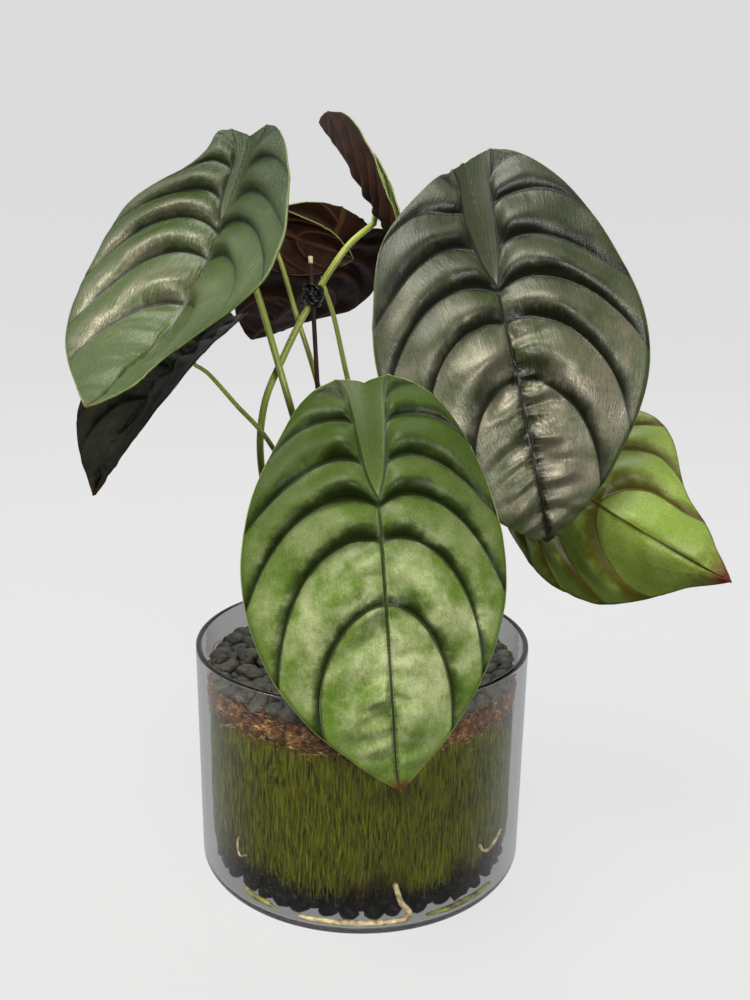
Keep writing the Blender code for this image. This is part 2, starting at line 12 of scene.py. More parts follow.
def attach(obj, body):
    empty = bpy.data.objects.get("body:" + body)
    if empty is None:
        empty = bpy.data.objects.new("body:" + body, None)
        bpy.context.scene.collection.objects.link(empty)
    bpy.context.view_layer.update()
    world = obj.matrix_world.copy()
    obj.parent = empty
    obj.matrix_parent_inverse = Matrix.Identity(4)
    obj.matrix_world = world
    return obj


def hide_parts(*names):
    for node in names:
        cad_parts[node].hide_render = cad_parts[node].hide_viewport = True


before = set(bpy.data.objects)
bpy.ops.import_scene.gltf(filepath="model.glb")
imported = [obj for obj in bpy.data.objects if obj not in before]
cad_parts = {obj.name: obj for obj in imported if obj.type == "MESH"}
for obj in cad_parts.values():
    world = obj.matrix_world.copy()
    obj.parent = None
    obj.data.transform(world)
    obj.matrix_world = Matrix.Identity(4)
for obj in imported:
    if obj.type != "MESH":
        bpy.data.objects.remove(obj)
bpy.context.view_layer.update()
mm = 0.001


# Colours, nodes and meshes

def linear(hexColour, dimmed=1):
    # an sRGB hex colour as linear light, dimmed where that is asked
    parts = [int(hexColour[k:k + 2], 16) / 255 for k in (1, 3, 5)]
    light = [c / 12.92 if c <= 0.04045 else ((c + 0.055) / 1.055) ** 2.4 for c in parts]
    return [dimmed * c for c in light] + [1.0]


def newMaterial(name, sockets):
    # the material, its shader and the function that adds a node to it
    mat = bpy.data.materials.new(name)
    mat.use_nodes = True
    shader = mat.node_tree.nodes["Principled BSDF"]
    for socket, value in sockets.items():
        shader.inputs[socket].default_value = value
    return mat, shader, functools.partial(addNode, mat)


def addNode(mat, kind, inputs=None, **settings):
    # inputs maps a socket's name or number to a value, or to the output that feeds it
    node = mat.node_tree.nodes.new("ShaderNode" + kind)
    for key, value in settings.items():
        setattr(node, key, value)
    for key, value in (inputs or {}).items():
        if isinstance(value, bpy.types.NodeSocket):
            mat.node_tree.links.new(value, node.inputs[key])
        else:
            node.inputs[key].default_value = value
    return [socket for socket in node.outputs if socket.enabled]


def feed(mat, shader, sockets):
    for socket, output in sockets.items():
        mat.node_tree.links.new(output, shader.inputs[socket])
    return mat


def addMesh(name, bm, mats):
    mesh = bpy.data.meshes.new(name)
    bm.to_mesh(mesh)
    bm.free()
    for mat in mats:
        mesh.materials.append(mat)
    for face in mesh.polygons:
        face.use_smooth = True
    made = bpy.data.objects.new(name, mesh)
    bpy.context.scene.collection.objects.link(made)
    return made


def settle(piece, node):
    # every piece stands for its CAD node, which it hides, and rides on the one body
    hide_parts(node)
    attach(piece, "root")


def curveThrough(points, count):
    # even samples along a smooth curve through the points
    given = np.asarray(points, float)
    ends = np.vstack([2 * given[0] - given[1], given, 2 * given[-1] - given[-2]])
    dense = []
    for k in range(1, len(ends) - 2):
        a, b, c, d = ends[k - 1:k + 3]
        for t in np.linspace(0, 1, 20, endpoint=False):
            dense.append(0.5 * (2 * b + (c - a) * t + (2 * a - 5 * b + 4 * c - d) * t * t
                                + (3 * b - a - 3 * c + d) * t ** 3))
    dense.append(given[-1])
    dense = np.array(dense)
    run = np.concatenate([[0], np.cumsum(np.linalg.norm(np.diff(dense, axis=0), axis=1))])
    at = np.linspace(0, run[-1], count)
    return np.stack([np.interp(at, run, dense[:, k]) for k in range(dense.shape[1])], -1)


def tubeMesh(lines, sides):
    # a bmesh of capped tubes, one for each (points in mm, radii in mm), from one bevelled curve
    data = bpy.data.curves.new("tubes", "CURVE")
    data.dimensions = "3D"
    data.bevel_depth = mm
    data.bevel_resolution = sides // 4 - 1
    data.use_fill_caps = True
    for points, radii in lines:
        spline = data.splines.new("POLY")
        spline.points.add(len(points) - 1)
        for k, point in enumerate(points):
            spline.points[k].co = (point[0] * mm, point[1] * mm, point[2] * mm, 1)
            spline.points[k].radius = radii[k]
    holder = bpy.data.objects.new("tubes", data)
    bpy.context.scene.collection.objects.link(holder)
    mesh = bpy.data.meshes.new_from_object(holder.evaluated_get(bpy.context.evaluated_depsgraph_get()))
    bpy.data.objects.remove(holder)
    bpy.data.curves.remove(data)
    bm = bmesh.new()
    bm.from_mesh(mesh)
    bpy.data.meshes.remove(mesh)
    bmesh.ops.remove_doubles(bm, verts=bm.verts, dist=1e-6)
    bmesh.ops.recalc_face_normals(bm, faces=bm.faces)
    return bm


def joinMesh(bm, other):
    mesh = bpy.data.meshes.new("joined")
    other.to_mesh(mesh)
    other.free()
    bm.from_mesh(mesh)
    bpy.data.meshes.remove(mesh)


def onWall(radius, degrees, z):
    # a point in mm by radius, angle from the front towards the right, and height
    turn = math.radians(degrees - 90)
    return (radius * math.cos(turn), radius * math.sin(turn), z)


def quarter(cx, cz, radius, start, end, count):
    turns = [math.radians(start + (end - start) * k / count) for k in range(count + 1)]
    return [(cx + radius * math.cos(t), cz + radius * math.sin(t)) for t in turns]


def lerp(start, end, share):
    return tuple(a + (b - a) * share for a, b in zip(start, end))


def spinProfile(profile, steps):
    # a closed turned body from a half profile of radius and height in mm
    bm = bmesh.new()
    verts = [bm.verts.new((mm * r, 0, mm * z)) for r, z in profile]
    edges = [bm.edges.new(pair) for pair in zip(verts, verts[1:] + verts[:1])]
    bmesh.ops.spin(bm, geom=verts + edges, cent=(0, 0, 0), axis=(0, 0, 1), angle=2 * math.pi,
                   steps=steps, use_merge=True)
    bmesh.ops.remove_doubles(bm, verts=bm.verts, dist=1e-6)
    bmesh.ops.dissolve_degenerate(bm, edges=bm.edges, dist=1e-6)
    bmesh.ops.recalc_face_normals(bm, faces=bm.faces)
    return bm


# Camera, studio and light

cameraView = {
    "place": (0.00647, -0.5729, 0.3594),    # solved from the rim and foot ellipses of the vase
    "down": 13.507,    # degrees below the level
    "roll": 0.77,    # degrees
    "lens": 36,
    "sensor": 36,
}
studio = {
    "floorRadius": 2.2,
    "coveRadius": 0.9,
    "coveSteps": 14,
    "wallTop": 2.4,
    "steps": 96,
    "paper": "#454545",
    "paperGlow": 0.69,
    "glassGlow": 0.26,    # the same paper as the glass sees it, so that it stays clear of a grey veil
    "sky": "#f2f4f6",
    "skyTowards": (0, 0.8, 0.5),    # the sky is brightest above and behind the plant
    "skyRange": (-0.62, 0.2),
    "skyStrength": (0.03, 0.6),
    "lights": [
        # name, place, size across and up, watts, colour
        ("keyTop", (-0.4, -0.6, 1.75), (0.9, 0.9), 30, "#fffaf0"),
        ("sheenFront", (0.3, -1.05, 0.5), (0.3, 0.3), 6, "#fffdf8"),
        ("sheenLeft", (-1.1, -0.45, 1.05), (0.3, 0.4), 3, "#fffdf8"),
        ("topBack", (0.2, 0.9, 1.6), (1.2, 0.8), 10, "#ffffff"),
    ],
    "aim": (0, 0, 0.24),
}


def addCamera():
    data = bpy.data.cameras.new("photoCamera")
    data.lens = cameraView["lens"]
    data.sensor_width = cameraView["sensor"]
    down = math.radians(cameraView["down"])
    roll = math.radians(cameraView["roll"])
    forward = Vector((0, math.cos(down), -math.sin(down)))
    right = Vector((1, 0, 0))
    up = right.cross(forward)
    turnedRight = math.cos(roll) * right + math.sin(roll) * up
    turnedUp = math.cos(roll) * up - math.sin(roll) * right
    camera = bpy.data.objects.new("photoCamera", data)
    turn = Matrix((turnedRight, turnedUp, -forward)).transposed().to_4x4()
    camera.matrix_world = Matrix.Translation(cameraView["place"]) @ turn
    bpy.context.scene.collection.objects.link(camera)
    bpy.context.scene.camera = camera


def paperMaterial(name, glow):
    # Seamless studio paper lit from behind: matt and pale, with the faintest mottle
    mat, shader, add = newMaterial(name, {
        "Roughness": 0.9,
        "Emission Color": linear("#ffffff"),
        "Emission Strength": glow,
    })
    where = add("TexCoord")[3]
    mottle = add("TexNoise", {"Vector": where, "Scale": 3.0, "Detail": 2.0})[0]
    colour = add("Mix", {0: mottle, 6: linear(studio["paper"], 0.985), 7: linear(studio["paper"])},
                 data_type="RGBA")[0]
    return feed(mat, shader, {"Base Color": colour})


def addStudio():
    floor = studio["floorRadius"]
    cove = quarter(floor, studio["coveRadius"], studio["coveRadius"], -90, 0, studio["coveSteps"])
    bm = bmesh.new()
    verts = [bm.verts.new((0, 0, 0))]
    verts += [bm.verts.new((x, 0, z)) for x, z in cove]
    verts.append(bm.verts.new((floor + studio["coveRadius"], 0, studio["wallTop"])))
    edges = [bm.edges.new(pair) for pair in zip(verts, verts[1:])]
    bmesh.ops.spin(bm, geom=verts + edges, cent=(0, 0, 0), axis=(0, 0, 1), angle=2 * math.pi,
                   steps=studio["steps"], use_merge=True)
    bmesh.ops.remove_doubles(bm, verts=bm.verts, dist=1e-5)
    bmesh.ops.recalc_face_normals(bm, faces=bm.faces)
    paper = addMesh("studioFloor", bm, [paperMaterial("seamlessPaper", studio["paperGlow"])])
    seen = bpy.data.objects.new("studioFloorThroughGlass", paper.data.copy())
    seen.data.materials[0] = paperMaterial("seamlessPaperThroughGlass", studio["glassGlow"])
    bpy.context.scene.collection.objects.link(seen)
    for sheet in (paper, seen):
        sheet.visible_diffuse = False    # the paper doesn't fill the shade under the leaves
        sheet.visible_glossy = False
    paper.visible_transmission = False
    seen.visible_camera = False
    seen.visible_shadow = False
    world = bpy.data.worlds.new("studioSky")
    world.use_nodes = True
    background = world.node_tree.nodes["Background"]
    background.inputs["Color"].default_value = linear(studio["sky"])
    towards = addNode(world, "TexCoord")[0]
    share = addNode(world, "VectorMath", {0: towards, 1: studio["skyTowards"]}, operation="DOT_PRODUCT")[0]
    low, high = studio["skyRange"]
    dim, bright = studio["skyStrength"]
    strength = addNode(world, "MapRange", {"Value": share, 1: low, 2: high, 3: dim, 4: bright},
                       interpolation_type="SMOOTHSTEP")[0]
    world.node_tree.links.new(strength, background.inputs["Strength"])
    bpy.context.scene.world = world
    for name, place, size, watts, colour in studio["lights"]:
        data = bpy.data.lights.new(name, "AREA")
        data.shape = "RECTANGLE"
        data.size, data.size_y = size
        data.energy = watts
        data.color = linear(colour)[:3]
        lamp = bpy.data.objects.new(name, data)
        lamp.location = place
        aim = Vector(studio["aim"]) - Vector(place)
        lamp.rotation_euler = aim.to_track_quat("-Z", "Y").to_euler()
        bpy.context.scene.collection.objects.link(lamp)
    bpy.context.scene.view_settings.view_transform = "Standard"


# Glass vase

vase = {
    "rimRadius": 100.0,
    "footRadius": 98.8,
    "height": 137.8,
    "wall": 3.2,
    "floor": 3.6,
    "footRound": 5.0,
    "cornerRound": 2.4,
    "roundSteps": {"foot": 8, "rim": 10, "corner": 5},
    "steps": 240,
    "besideRounds": (0.01, 0.25, 0.5, 0.75, 0.99),    # rings that keep the shading of the long walls flat
    "tint": "#fcfdfc",
}


def glassMaterial():
    # Soda lime glass, blown and fire polished: clear, faintly green, with a dark line at the rim
    return newMaterial("sodaLimeGlass", {
        "Base Color": linear(vase["tint"]),
        "Roughness": 0.0,
        "IOR": 1.45,
        "Transmission Weight": 1.0,
    })[0]


def buildVase():
    heel = vase["footRound"]
    steps = vase["roundSteps"]
    foot = quarter(vase["footRadius"] - heel, heel, heel, -90, 0, steps["foot"])
    lip = vase["wall"] / 2
    rim = quarter(vase["rimRadius"] - lip, vase["height"] - lip, lip, 0, 180, steps["rim"])
    inner = vase["footRadius"] - vase["wall"]
    bend = vase["cornerRound"]
    corner = quarter(inner - bend, vase["floor"] + bend, bend, 0, -90, steps["corner"])
    outside = [lerp(foot[-1], rim[0], share) for share in vase["besideRounds"]]
    inside = [lerp(rim[-1], corner[0], share) for share in vase["besideRounds"]]
    under = [lerp((0, 0), foot[0], share) for share in (0, 0.5, 0.99)]
    over = [lerp(corner[-1], (0, vase["floor"]), share) for share in (0.01, 0.5, 1)]
    profile = under + foot + outside + rim + inside + corner + over
    piece = addMesh("vase_glass", spinProfile(profile, vase["steps"]), [glassMaterial()])
    piece.visible_shadow = False    # light reaches the filling as it does through real glass
    settle(piece, "glass_vase")


# Leaf blades: each starts from the same template, in hub to tip lengths

halfOutline = [
    (0.10, 0.445), (0.18, 0.415), (0.285, 0.315), (0.365, 0.18), (0.43, 0.0), (0.465, -0.2),
    (0.45, -0.4), (0.375, -0.6), (0.24, -0.8), (0.105, -0.93), (0.032, -0.982), (0.0, -1.0),
]
notchOutline = [(0.0, 0.40), (0.045, 0.425), (0.10, 0.445)]
basalRib = [(0.10, 0.445), (0.07, 0.34), (0.055, 0.22), (0.035, 0.09), (0.0, 0.0)]
veins = [
    [(0.07, 0.34), (0.10, 0.39), (0.16, 0.42), (0.21, 0.39)],
    [(0.057, 0.25), (0.10, 0.30), (0.28, 0.30), (0.37, 0.16)],
    [(0.04, 0.11), (0.12, 0.17), (0.27, 0.14), (0.44, -0.09)],
    [(0.0, -0.03), (0.10, 0.06), (0.32, 0.02), (0.455, -0.36)],
    [(0.0, -0.15), (0.14, -0.08), (0.36, -0.27), (0.35, -0.65)],
    [(0.0, -0.365), (0.12, -0.36), (0.26, -0.58), (0.21, -0.83)],
    [(0.0, -0.66), (0.06, -0.66), (0.13, -0.82), (0.10, -0.935)],
]
blade = {
    # in mm, and in shares where no length is meant
    "thickness": 0.85,
    "templateLength": 137.0,    # the length that the heights below are meant for
    "widest": 0.465,    # of the template, in lengths
    "quiltHeight": 6.2,
    "quiltShares": [0.0, 0.55, 0.8, 1.0, 1.0, 0.95, 0.6, 0.6],
    "quiltLean": 1.5,
    "swell": 0.55,
    "swellWaves": 6,
    "lumpHeight": 0.9,
    "lumpWaves": 9,
    "rowsBetween": [6, 9, 12, 14, 14, 18, 24, 22],
    "rowEasing": (0.45, 0.55),    # shares of an even spread and of one that is closer at the veins
    "columns": 42,
    "columnEasing": 1.35,    # above 1, the columns stand closer at the midrib
    "innerColumns": 7,
    "rippleHeight": 0.30,
    "rippleSpacing": 3.0,
    "pleatSpacing": 8.0,
    "pleatLean": (0.5, 0.0),
    "pleatReach": 17.0,
    "ribHeight": 0.2,
    "ribHalfWidth": 1.3,
    "stripDip": 0.7,    # how deep the strip between the basal ribs lies
    "hubBump": 1.5,
    "hubRadius": 2.2,
    "creaseSoft": 2.5,
    "sharedNormal": 1.5,    # how far from the midrib both halves share a normal
    "hookFrom": 0.92,
    "hookPower": 1.6,
}
plainLeaf = dict(
    hook=(0, 0, 0), shoulderAt=(0.30, 0.17), shoulder=(0, 0), flank=(0, 0), lobe=(0, 0), pleats=(1.0, 1.0),
)
leaves = {
    "leaf_front": dict(
        look="green", hub=(8, -102, 246.4), face=10, tilt=20, spin=2, length=140, bend=11, baseBend=24,
        fold=(-13, -1), curl=(-6, -8), wide=(1.08, 0.97), base=1.12, shoulder=(-0.09, -0.01),
        flank=(0.05, -0.02), lobe=(-0.015, -0.015), hook=(1.5, 1.5, -0.5), pleats=(6.5, 2.6),
    ),
    "leaf_right": dict(
        look="silver", hub=(70.2, -24, 346), face=6, tilt=19, spin=12, length=141.5, bend=17, baseBend=2,
        fold=(3, 6), curl=(8, 7), wide=(1.15, 1.11), base=1.25, shoulderAt=(0.42, 0.14),
        shoulder=(-0.5, -0.04), flank=(-0.08, -0.03), lobe=(-0.075, -0.02), pleats=(6.0, 6.5),
    ),
    "leaf_left": dict(
        look="copper", hub=(-78, -20, 375), face=-26, tilt=23, spin=-7, length=132, bend=-47, baseBend=-2,
        fold=(21, 28), curl=(-24, -2), wide=(1.10, 1.20), base=0.99, shoulder=(-0.49, -0.06),
        flank=(0.04, -0.52), lobe=(-0.03, -0.01), hook=(0.5, -1.5, 1.5), pleats=(1.8, 2.0),
    ),
    "leaf_left_low": dict(
        look="dark", hub=(-104, 15, 304), face=-50, tilt=53, spin=2, length=97, bend=24, baseBend=9,
        fold=(12, 12), curl=(10, 11), wide=(1.12, 0.99), base=1.0, flank=(0.07, -0.27),
        hook=(2.5, 2.5, 1.5), pleats=(2.5, 2.5),
    ),
    "leaf_back_small": dict(
        look="maroon", hub=(-59, 28, 377), face=172, tilt=8, spin=-72, length=55, bend=8, baseBend=5,
        fold=(-12, -8), curl=(-70, -15), wide=(0.80, 0.85), base=1.0,
    ),
    "leaf_top_rolled": dict(
        look="maroon", hub=(5, 18, 386), face=14, tilt=50, spin=190, length=100, bend=10, baseBend=-10,
        fold=(97, 112), curl=(4, -6), wide=(0.76, 0.40), base=1.0, flank=(-0.1, -0.3),
    ),
    "leaf_right_low": dict(
        look="lime", hub=(104, 0, 243), face=-52, tilt=23, spin=73, length=120.5, bend=57, baseBend=8,
        fold=(-24, -25), curl=(-8, -7), wide=(1.21, 1.15), base=0.99, shoulder=(-0.02, 0),
        flank=(0.13, -0.28), hook=(6.5, 1.0, 2.0), pleats=(1.4, 1.0),
    ),
    "leaf_back": dict(
        look="maroon", hub=(-27.5, 55, 350), face=191, tilt=53, spin=23, length=100, bend=-14, baseBend=-24,
        fold=(19, 21), curl=(-17, 0), wide=(1.0, 1.07), base=1.17, shoulder=(0.05, 0.25),
        flank=(-0.33, -0.13), lobe=(-0.09, -0.035), pleats=(1.5, 1.5),
    ),
}
plainLook = dict(metal=0.0, highSidePaintedSheen=1.0, rightHalfPaintedSheen=1.0, under="#45211a", underVein="#6d4f32")
leafLooks = {
    "green": dict(
        # on this leaf the silver colour is a painted sheen, kept to the lower half by greenBase
        slot="leaf_green", green="#567026", silver="#a9af82", dark="#1a2408", vein="#2a3a12",
        margin="#a3b070", tip="#6b4a28", dry=(2.5, 6.5), silverShare=0.36, greenBase=1.0, baseShade=0.45,
        gloss=0.12, rough=0.33, wax=0.12, fingers=12.5, comb=3.0, fringe=0.15, streaks=0.08, combed=0.3,
        under="#5c5a34", underVein="#7d7a48",
    ),
    "silver": dict(
        slot="leaf_silver", green="#3d4a26", silver="#7b7565", dark="#12170b", vein="#171c10",
        margin="#6c7848", tip="#2a2118", dry=(2.0, 5.0), silverShare=0.52, greenBase=0.8, baseShade=0.48,
        gloss=0.4, rough=0.33, wax=0.1, fingers=18.0, comb=9.0, fringe=0.7, streaks=0.30, combed=0.9,
        metal=0.45,
    ),
    "copper": dict(
        slot="leaf_silver", green="#3b4f1f", silver="#948c7a", dark="#141b0b", vein="#26321a",
        margin="#73843f", tip="#624228", dry=(2.5, 6.0), silverShare=0.55, greenBase=0.6, baseShade=0.6,
        gloss=0.35, rough=0.27, wax=0.2, fingers=3.0, comb=2.0, fringe=0.6, streaks=0.3, combed=2.2,
        metal=0.8, highSidePaintedSheen=0.08, rightHalfPaintedSheen=0.15,
    ),
    "dark": dict(
        slot="leaf_dark", green="#15180e", silver="#2a2a21", dark="#070804", vein="#060704",
        margin="#3a1712", tip="#2a1a12", dry=(2.0, 5.0), silverShare=0.3, greenBase=0.0, baseShade=0.8,
        gloss=0.04, rough=0.3, wax=0.0, fingers=6.0, comb=6.0, fringe=0.5, streaks=0.3, combed=1.0,
        under="#3d1c16", underVein="#5c4029",
    ),
    "lime": dict(
        slot="leaf_lime", green="#728835", silver="#8b9a52", dark="#4d4509", vein="#45400f",
        margin="#6d3f24", tip="#5e2a1a", dry=(4.0, 13.0), silverShare=0.2, greenBase=0.0, baseShade=0.6,
        gloss=0.25, rough=0.36, wax=0.1, fingers=18.0, comb=2.0, fringe=0.2, streaks=0.1, combed=0.6,
        under="#6b6a38", underVein="#8a874c",
    ),
    "maroon": dict(
        slot="leaf_maroon", green="#55682c", silver="#7d8a58", dark="#2c3a18", vein="#24300f",
        margin="#7d8a44", tip="#5a3a20", dry=(2.0, 5.0), silverShare=0.3, greenBase=0.0, baseShade=1.0,
        gloss=0.3, rough=0.4, wax=0.1, fingers=2.0, comb=2.0, fringe=0.3, streaks=0.1, combed=0.4,
        under="#3b241a", underVein="#553a26",
    ),
}


def leafAxes(leaf):
    # directions from hub to tip, to the right half, and out of the upper face
    turn, lean, spin = (math.radians(leaf[key]) for key in ("face", "tilt", "spin"))
    out = Vector((math.sin(turn) * math.cos(lean), -math.cos(turn) * math.cos(lean), math.sin(lean)))
    down = Vector((math.sin(turn) * math.sin(lean), -math.cos(turn) * math.sin(lean), -math.cos(lean)))
    across = out.cross(down)
    along = math.cos(spin) * down + math.sin(spin) * across
    return along, out.cross(along), out


def arc(turn, run):
    # how far on and how far down a run gets that turns by this much per mm
    if abs(turn) < 1e-6:
        return run, 0.0
    return math.sin(turn * run) / turn, (1 - math.cos(turn * run)) / turn


def bladePoint(leaf, axes, x, y, lift):
    # a template point on the bent, folded and curled blade, in mm, raised along its upper face
    along, side, out = axes
    length = leaf["length"]
    half = 1 if x > 0 else 0
    sign = 1 if x > 0 else -1
    wide = leaf["wide"][half]
    shoulderY, shoulderRun = leaf["shoulderAt"]
    wide *= 1 + leaf["shoulder"][half] * math.exp(-((y - shoulderY) / shoulderRun) ** 2) \
        + leaf["flank"][half] * math.exp(-((y + 0.72) / 0.2) ** 2)
    over = abs(x) * length * wide
    lobe = leaf["lobe"][half] * math.exp(-((abs(x) - 0.12) / 0.09) ** 2) * min(max((y - 0.15) / 0.25, 0), 1)
    lobe *= min(abs(x) / 0.04, 1)    # both halves meet in the middle of the notch
    run = -((y * leaf["base"] if y > 0 else y) + lobe) * length
    tipTurn = math.radians(leaf["bend"]) / length
    baseTurn = math.radians(leaf["baseBend"]) / (0.45 * length)
    onTip, downTip = arc(tipTurn, max(run, 0))
    onBase, downBase = arc(baseTurn, max(-run, 0))
    turned = tipTurn * max(run, 0) - baseTurn * max(-run, 0)
    up = math.cos(turned) * out + math.sin(turned) * along
    spine = Vector(leaf["hub"]) + (onTip - onBase) * along - (downTip + downBase) * out
    fold = math.radians(leaf["fold"][half])
    curl = math.radians(leaf["curl"][half]) / (blade["widest"] * length)
    curl = curl if abs(curl) > 1e-6 else 1e-6
    end = fold + curl * over
    reach = (math.sin(end) - math.sin(fold)) / curl
    rise = (math.cos(fold) - math.cos(end)) / curl
    if y > 0:
        # the crease of the midrib softens above the hub
        soft = blade["creaseSoft"]
        rise -= math.sin(fold) * soft * (1 - math.exp(-over / soft)) * min(y / 0.1, 1)
    facing = end * (1 - math.exp(-over / blade["sharedNormal"]))
    normal = math.cos(facing) * up - sign * math.sin(facing) * side
    point = spine + sign * reach * side + rise * up + lift * normal
    # a dried tip that reaches on, to one side and up or down
    pull = max(0.0, (-y - blade["hookFrom"]) / 0.08) ** blade["hookPower"]
    on, aside, lifted = leaf["hook"]
    onward = math.cos(turned) * along - math.sin(turned) * out
    return point + pull * (on * onward + aside * side + lifted * up)


def bezier(points, t):
    a, b, c, d = points
    return (1 - t) ** 3 * a + 3 * (1 - t) ** 2 * t * b + 3 * (1 - t) * t * t * c + t ** 3 * d


def runLengths(path):
    return np.concatenate([[0], np.cumsum(np.linalg.norm(np.diff(path, axis=0), axis=1))])


def alongPath(path, runs, at):
    return np.array([np.interp(at, runs, path[:, k]) for k in (0, 1)])


def leafRows():
    # rows of template points from the lobe to the tip, closer near the veins, with a row at the hub
    lobe = np.array([halfOutline[0]] * 4)
    tip = np.array([halfOutline[-1]] * 4)
    curves = [lobe] + [np.array(vein) for vein in veins] + [tip]
    margin = curveThrough(halfOutline, 400)
    spine = np.vstack([curveThrough(basalRib, 160), [(0.0, -1.0)]])
    marginRuns = runLengths(margin)
    spineRuns = runLengths(spine)
    hubRun = spineRuns[-2]
    ends = [marginRuns[np.linalg.norm(margin - curve[3], axis=1).argmin()] for curve in curves]
    starts = []
    for curve in curves:
        x, y = curve[0]
        starts.append(hubRun - y if x == 0 else spineRuns[np.linalg.norm(spine - curve[0], axis=1).argmin()])
    places = []
    evenShare, easedShare = blade["rowEasing"]
    for k, steps in enumerate(blade["rowsBetween"]):
        for step in range(steps):
            even = step / steps
            eased = (1 - math.cos(math.pi * even)) / 2
            places.append(k + evenShare * even + easedShare * eased)
    places.append(len(curves) - 1)
    above = max(k for k in range(len(starts)) if starts[k] < hubRun)
    hubPlace = above + (hubRun - starts[above]) / (starts[above + 1] - starts[above])
    nearest = min(range(len(places)), key=lambda k: abs(places[k] - hubPlace))
    places[nearest] = float(hubPlace)
    count = blade["columns"]
    columns = [(column / count) ** blade["columnEasing"] for column in range(count + 1)]
    rows = []
    for place in places:
        k = min(int(place), len(curves) - 2)
        share = place - k
        points = curves[k] * (1 - share) + curves[k + 1] * share
        points[0] = alongPath(spine, spineRuns, starts[k] * (1 - share) + starts[k + 1] * share)
        points[3] = alongPath(margin, marginRuns, ends[k] * (1 - share) + ends[k + 1] * share)
        line = np.array([bezier(points, c) for c in columns])
        gaps = [float(np.linalg.norm(bezier(curves[k], c) - bezier(curves[k + 1], c))) for c in columns]
        rows.append((k, share, list(zip(columns, line.tolist(), runLengths(line).tolist(), gaps))))
    return rows, nearest


def quiltLift(k, share, column, scale):
    # height over the veins: a gentle rise below each vein and a steep fall to the next, low at the margin
    if k >= len(veins) - 1:
        share = (share + k - len(veins) + 1) / 2    # one long quilt at the tip
    crest = share ** blade["quiltLean"]
    tall = blade["quiltShares"][k] * abs(math.sin(math.pi * crest)) ** 0.85
    rise = 1 - math.exp(-(column / 0.09) ** 1.3)
    fade = 1 - 0.95 * max(0.0, (column - 0.45) / 0.55) ** 1.3
    return blade["quiltHeight"] * scale * tall * rise * fade


def pleat(height, half, x, y, length, seed):
    # slanting folds beside the midrib towards the tip, where the blade is pinched
    away = x * length
    strong = min(max((0.0 - y) / 0.35, 0), 1) * min((1 + y) / 0.1, 1)
    strong *= math.exp(-(away / blade["pleatReach"]) ** 2) * min(away / 2.5, 1)
    down = (y * length + blade["pleatLean"][half] * away) / blade["pleatSpacing"]
    wave = noise.noise(Vector((down, away / 24, seed + 9)))
    wave += 0.45 * noise.noise(Vector((2.2 * down, away / 12, seed + 4)))
    return height[half] * strong * wave


def ripple(along, place, veinDistance, seed):
    # small folds that run from a vein into the quilt, strongest beside the vein
    wave = noise.noise(Vector((along / blade["rippleSpacing"], place * 1.3, seed)))
    near = math.exp(-((veinDistance - 3.0) / 3.5) ** 2)
    return blade["rippleHeight"] * wave * (0.25 + near) * min(veinDistance / 1.5, 1)


def shapeHalf(bm, layers, leaf, axes, sign, seed, rows, hubRow):
    placeLayer, edgeLayer = layers
    length = leaf["length"]
    scale = length / blade["templateLength"]
    columns, waves, lumps = blade["columns"], blade["swellWaves"], blade["lumpWaves"]
    verts = bmesh.ops.create_grid(bm, x_segments=columns, y_segments=len(rows) - 1, size=1)["verts"]
    for row, (k, share, cells) in enumerate(rows):
        widest = cells[-1][2] * length
        for column, (c, (x, y), run, gap) in enumerate(cells):
            below = share if k > 0 else 1
            above = 1 - share if k < len(veins) - 1 else 1
            near = min(below, above) * gap * length if k < len(veins) else 25.0
            swell = 1 + blade["swell"] * noise.noise(Vector((x * waves, y * waves, seed)))
            lift = quiltLift(k, share, c, scale) * swell
            beside = min(c / 0.05, 1)    # nothing uneven on the rib, where the parts of the blade meet
            lump = noise.noise(Vector((x * lumps, y * lumps, seed + 5)))
            lift += blade["lumpHeight"] * scale * lump * min(near / 4, 1) * beside
            lift += ripple(run * length, k + share, near, seed) * beside
            lift += pleat(leaf["pleats"], 1 if sign > 0 else 0, x, y, length, seed)
            lift += blade["hubBump"] * math.exp(-(math.hypot(x, y) * length / blade["hubRadius"]) ** 2)
            lift += blade["ribHeight"] * max(0, 1 - (run * length / blade["ribHalfWidth"]) ** 2)
            vert = verts[row * (columns + 1) + column]
            vert.co = bladePoint(leaf, axes, sign * max(x, 1e-7), y, lift)
            vert[placeLayer] = (k + share, run * length * sign, near)
            vert[edgeLayer] = (run * length, widest - run * length, math.hypot(x, y + 1) * length)
    shapeBetweenRibs(bm, layers, leaf, axes, sign, rows[:hubRow + 1])


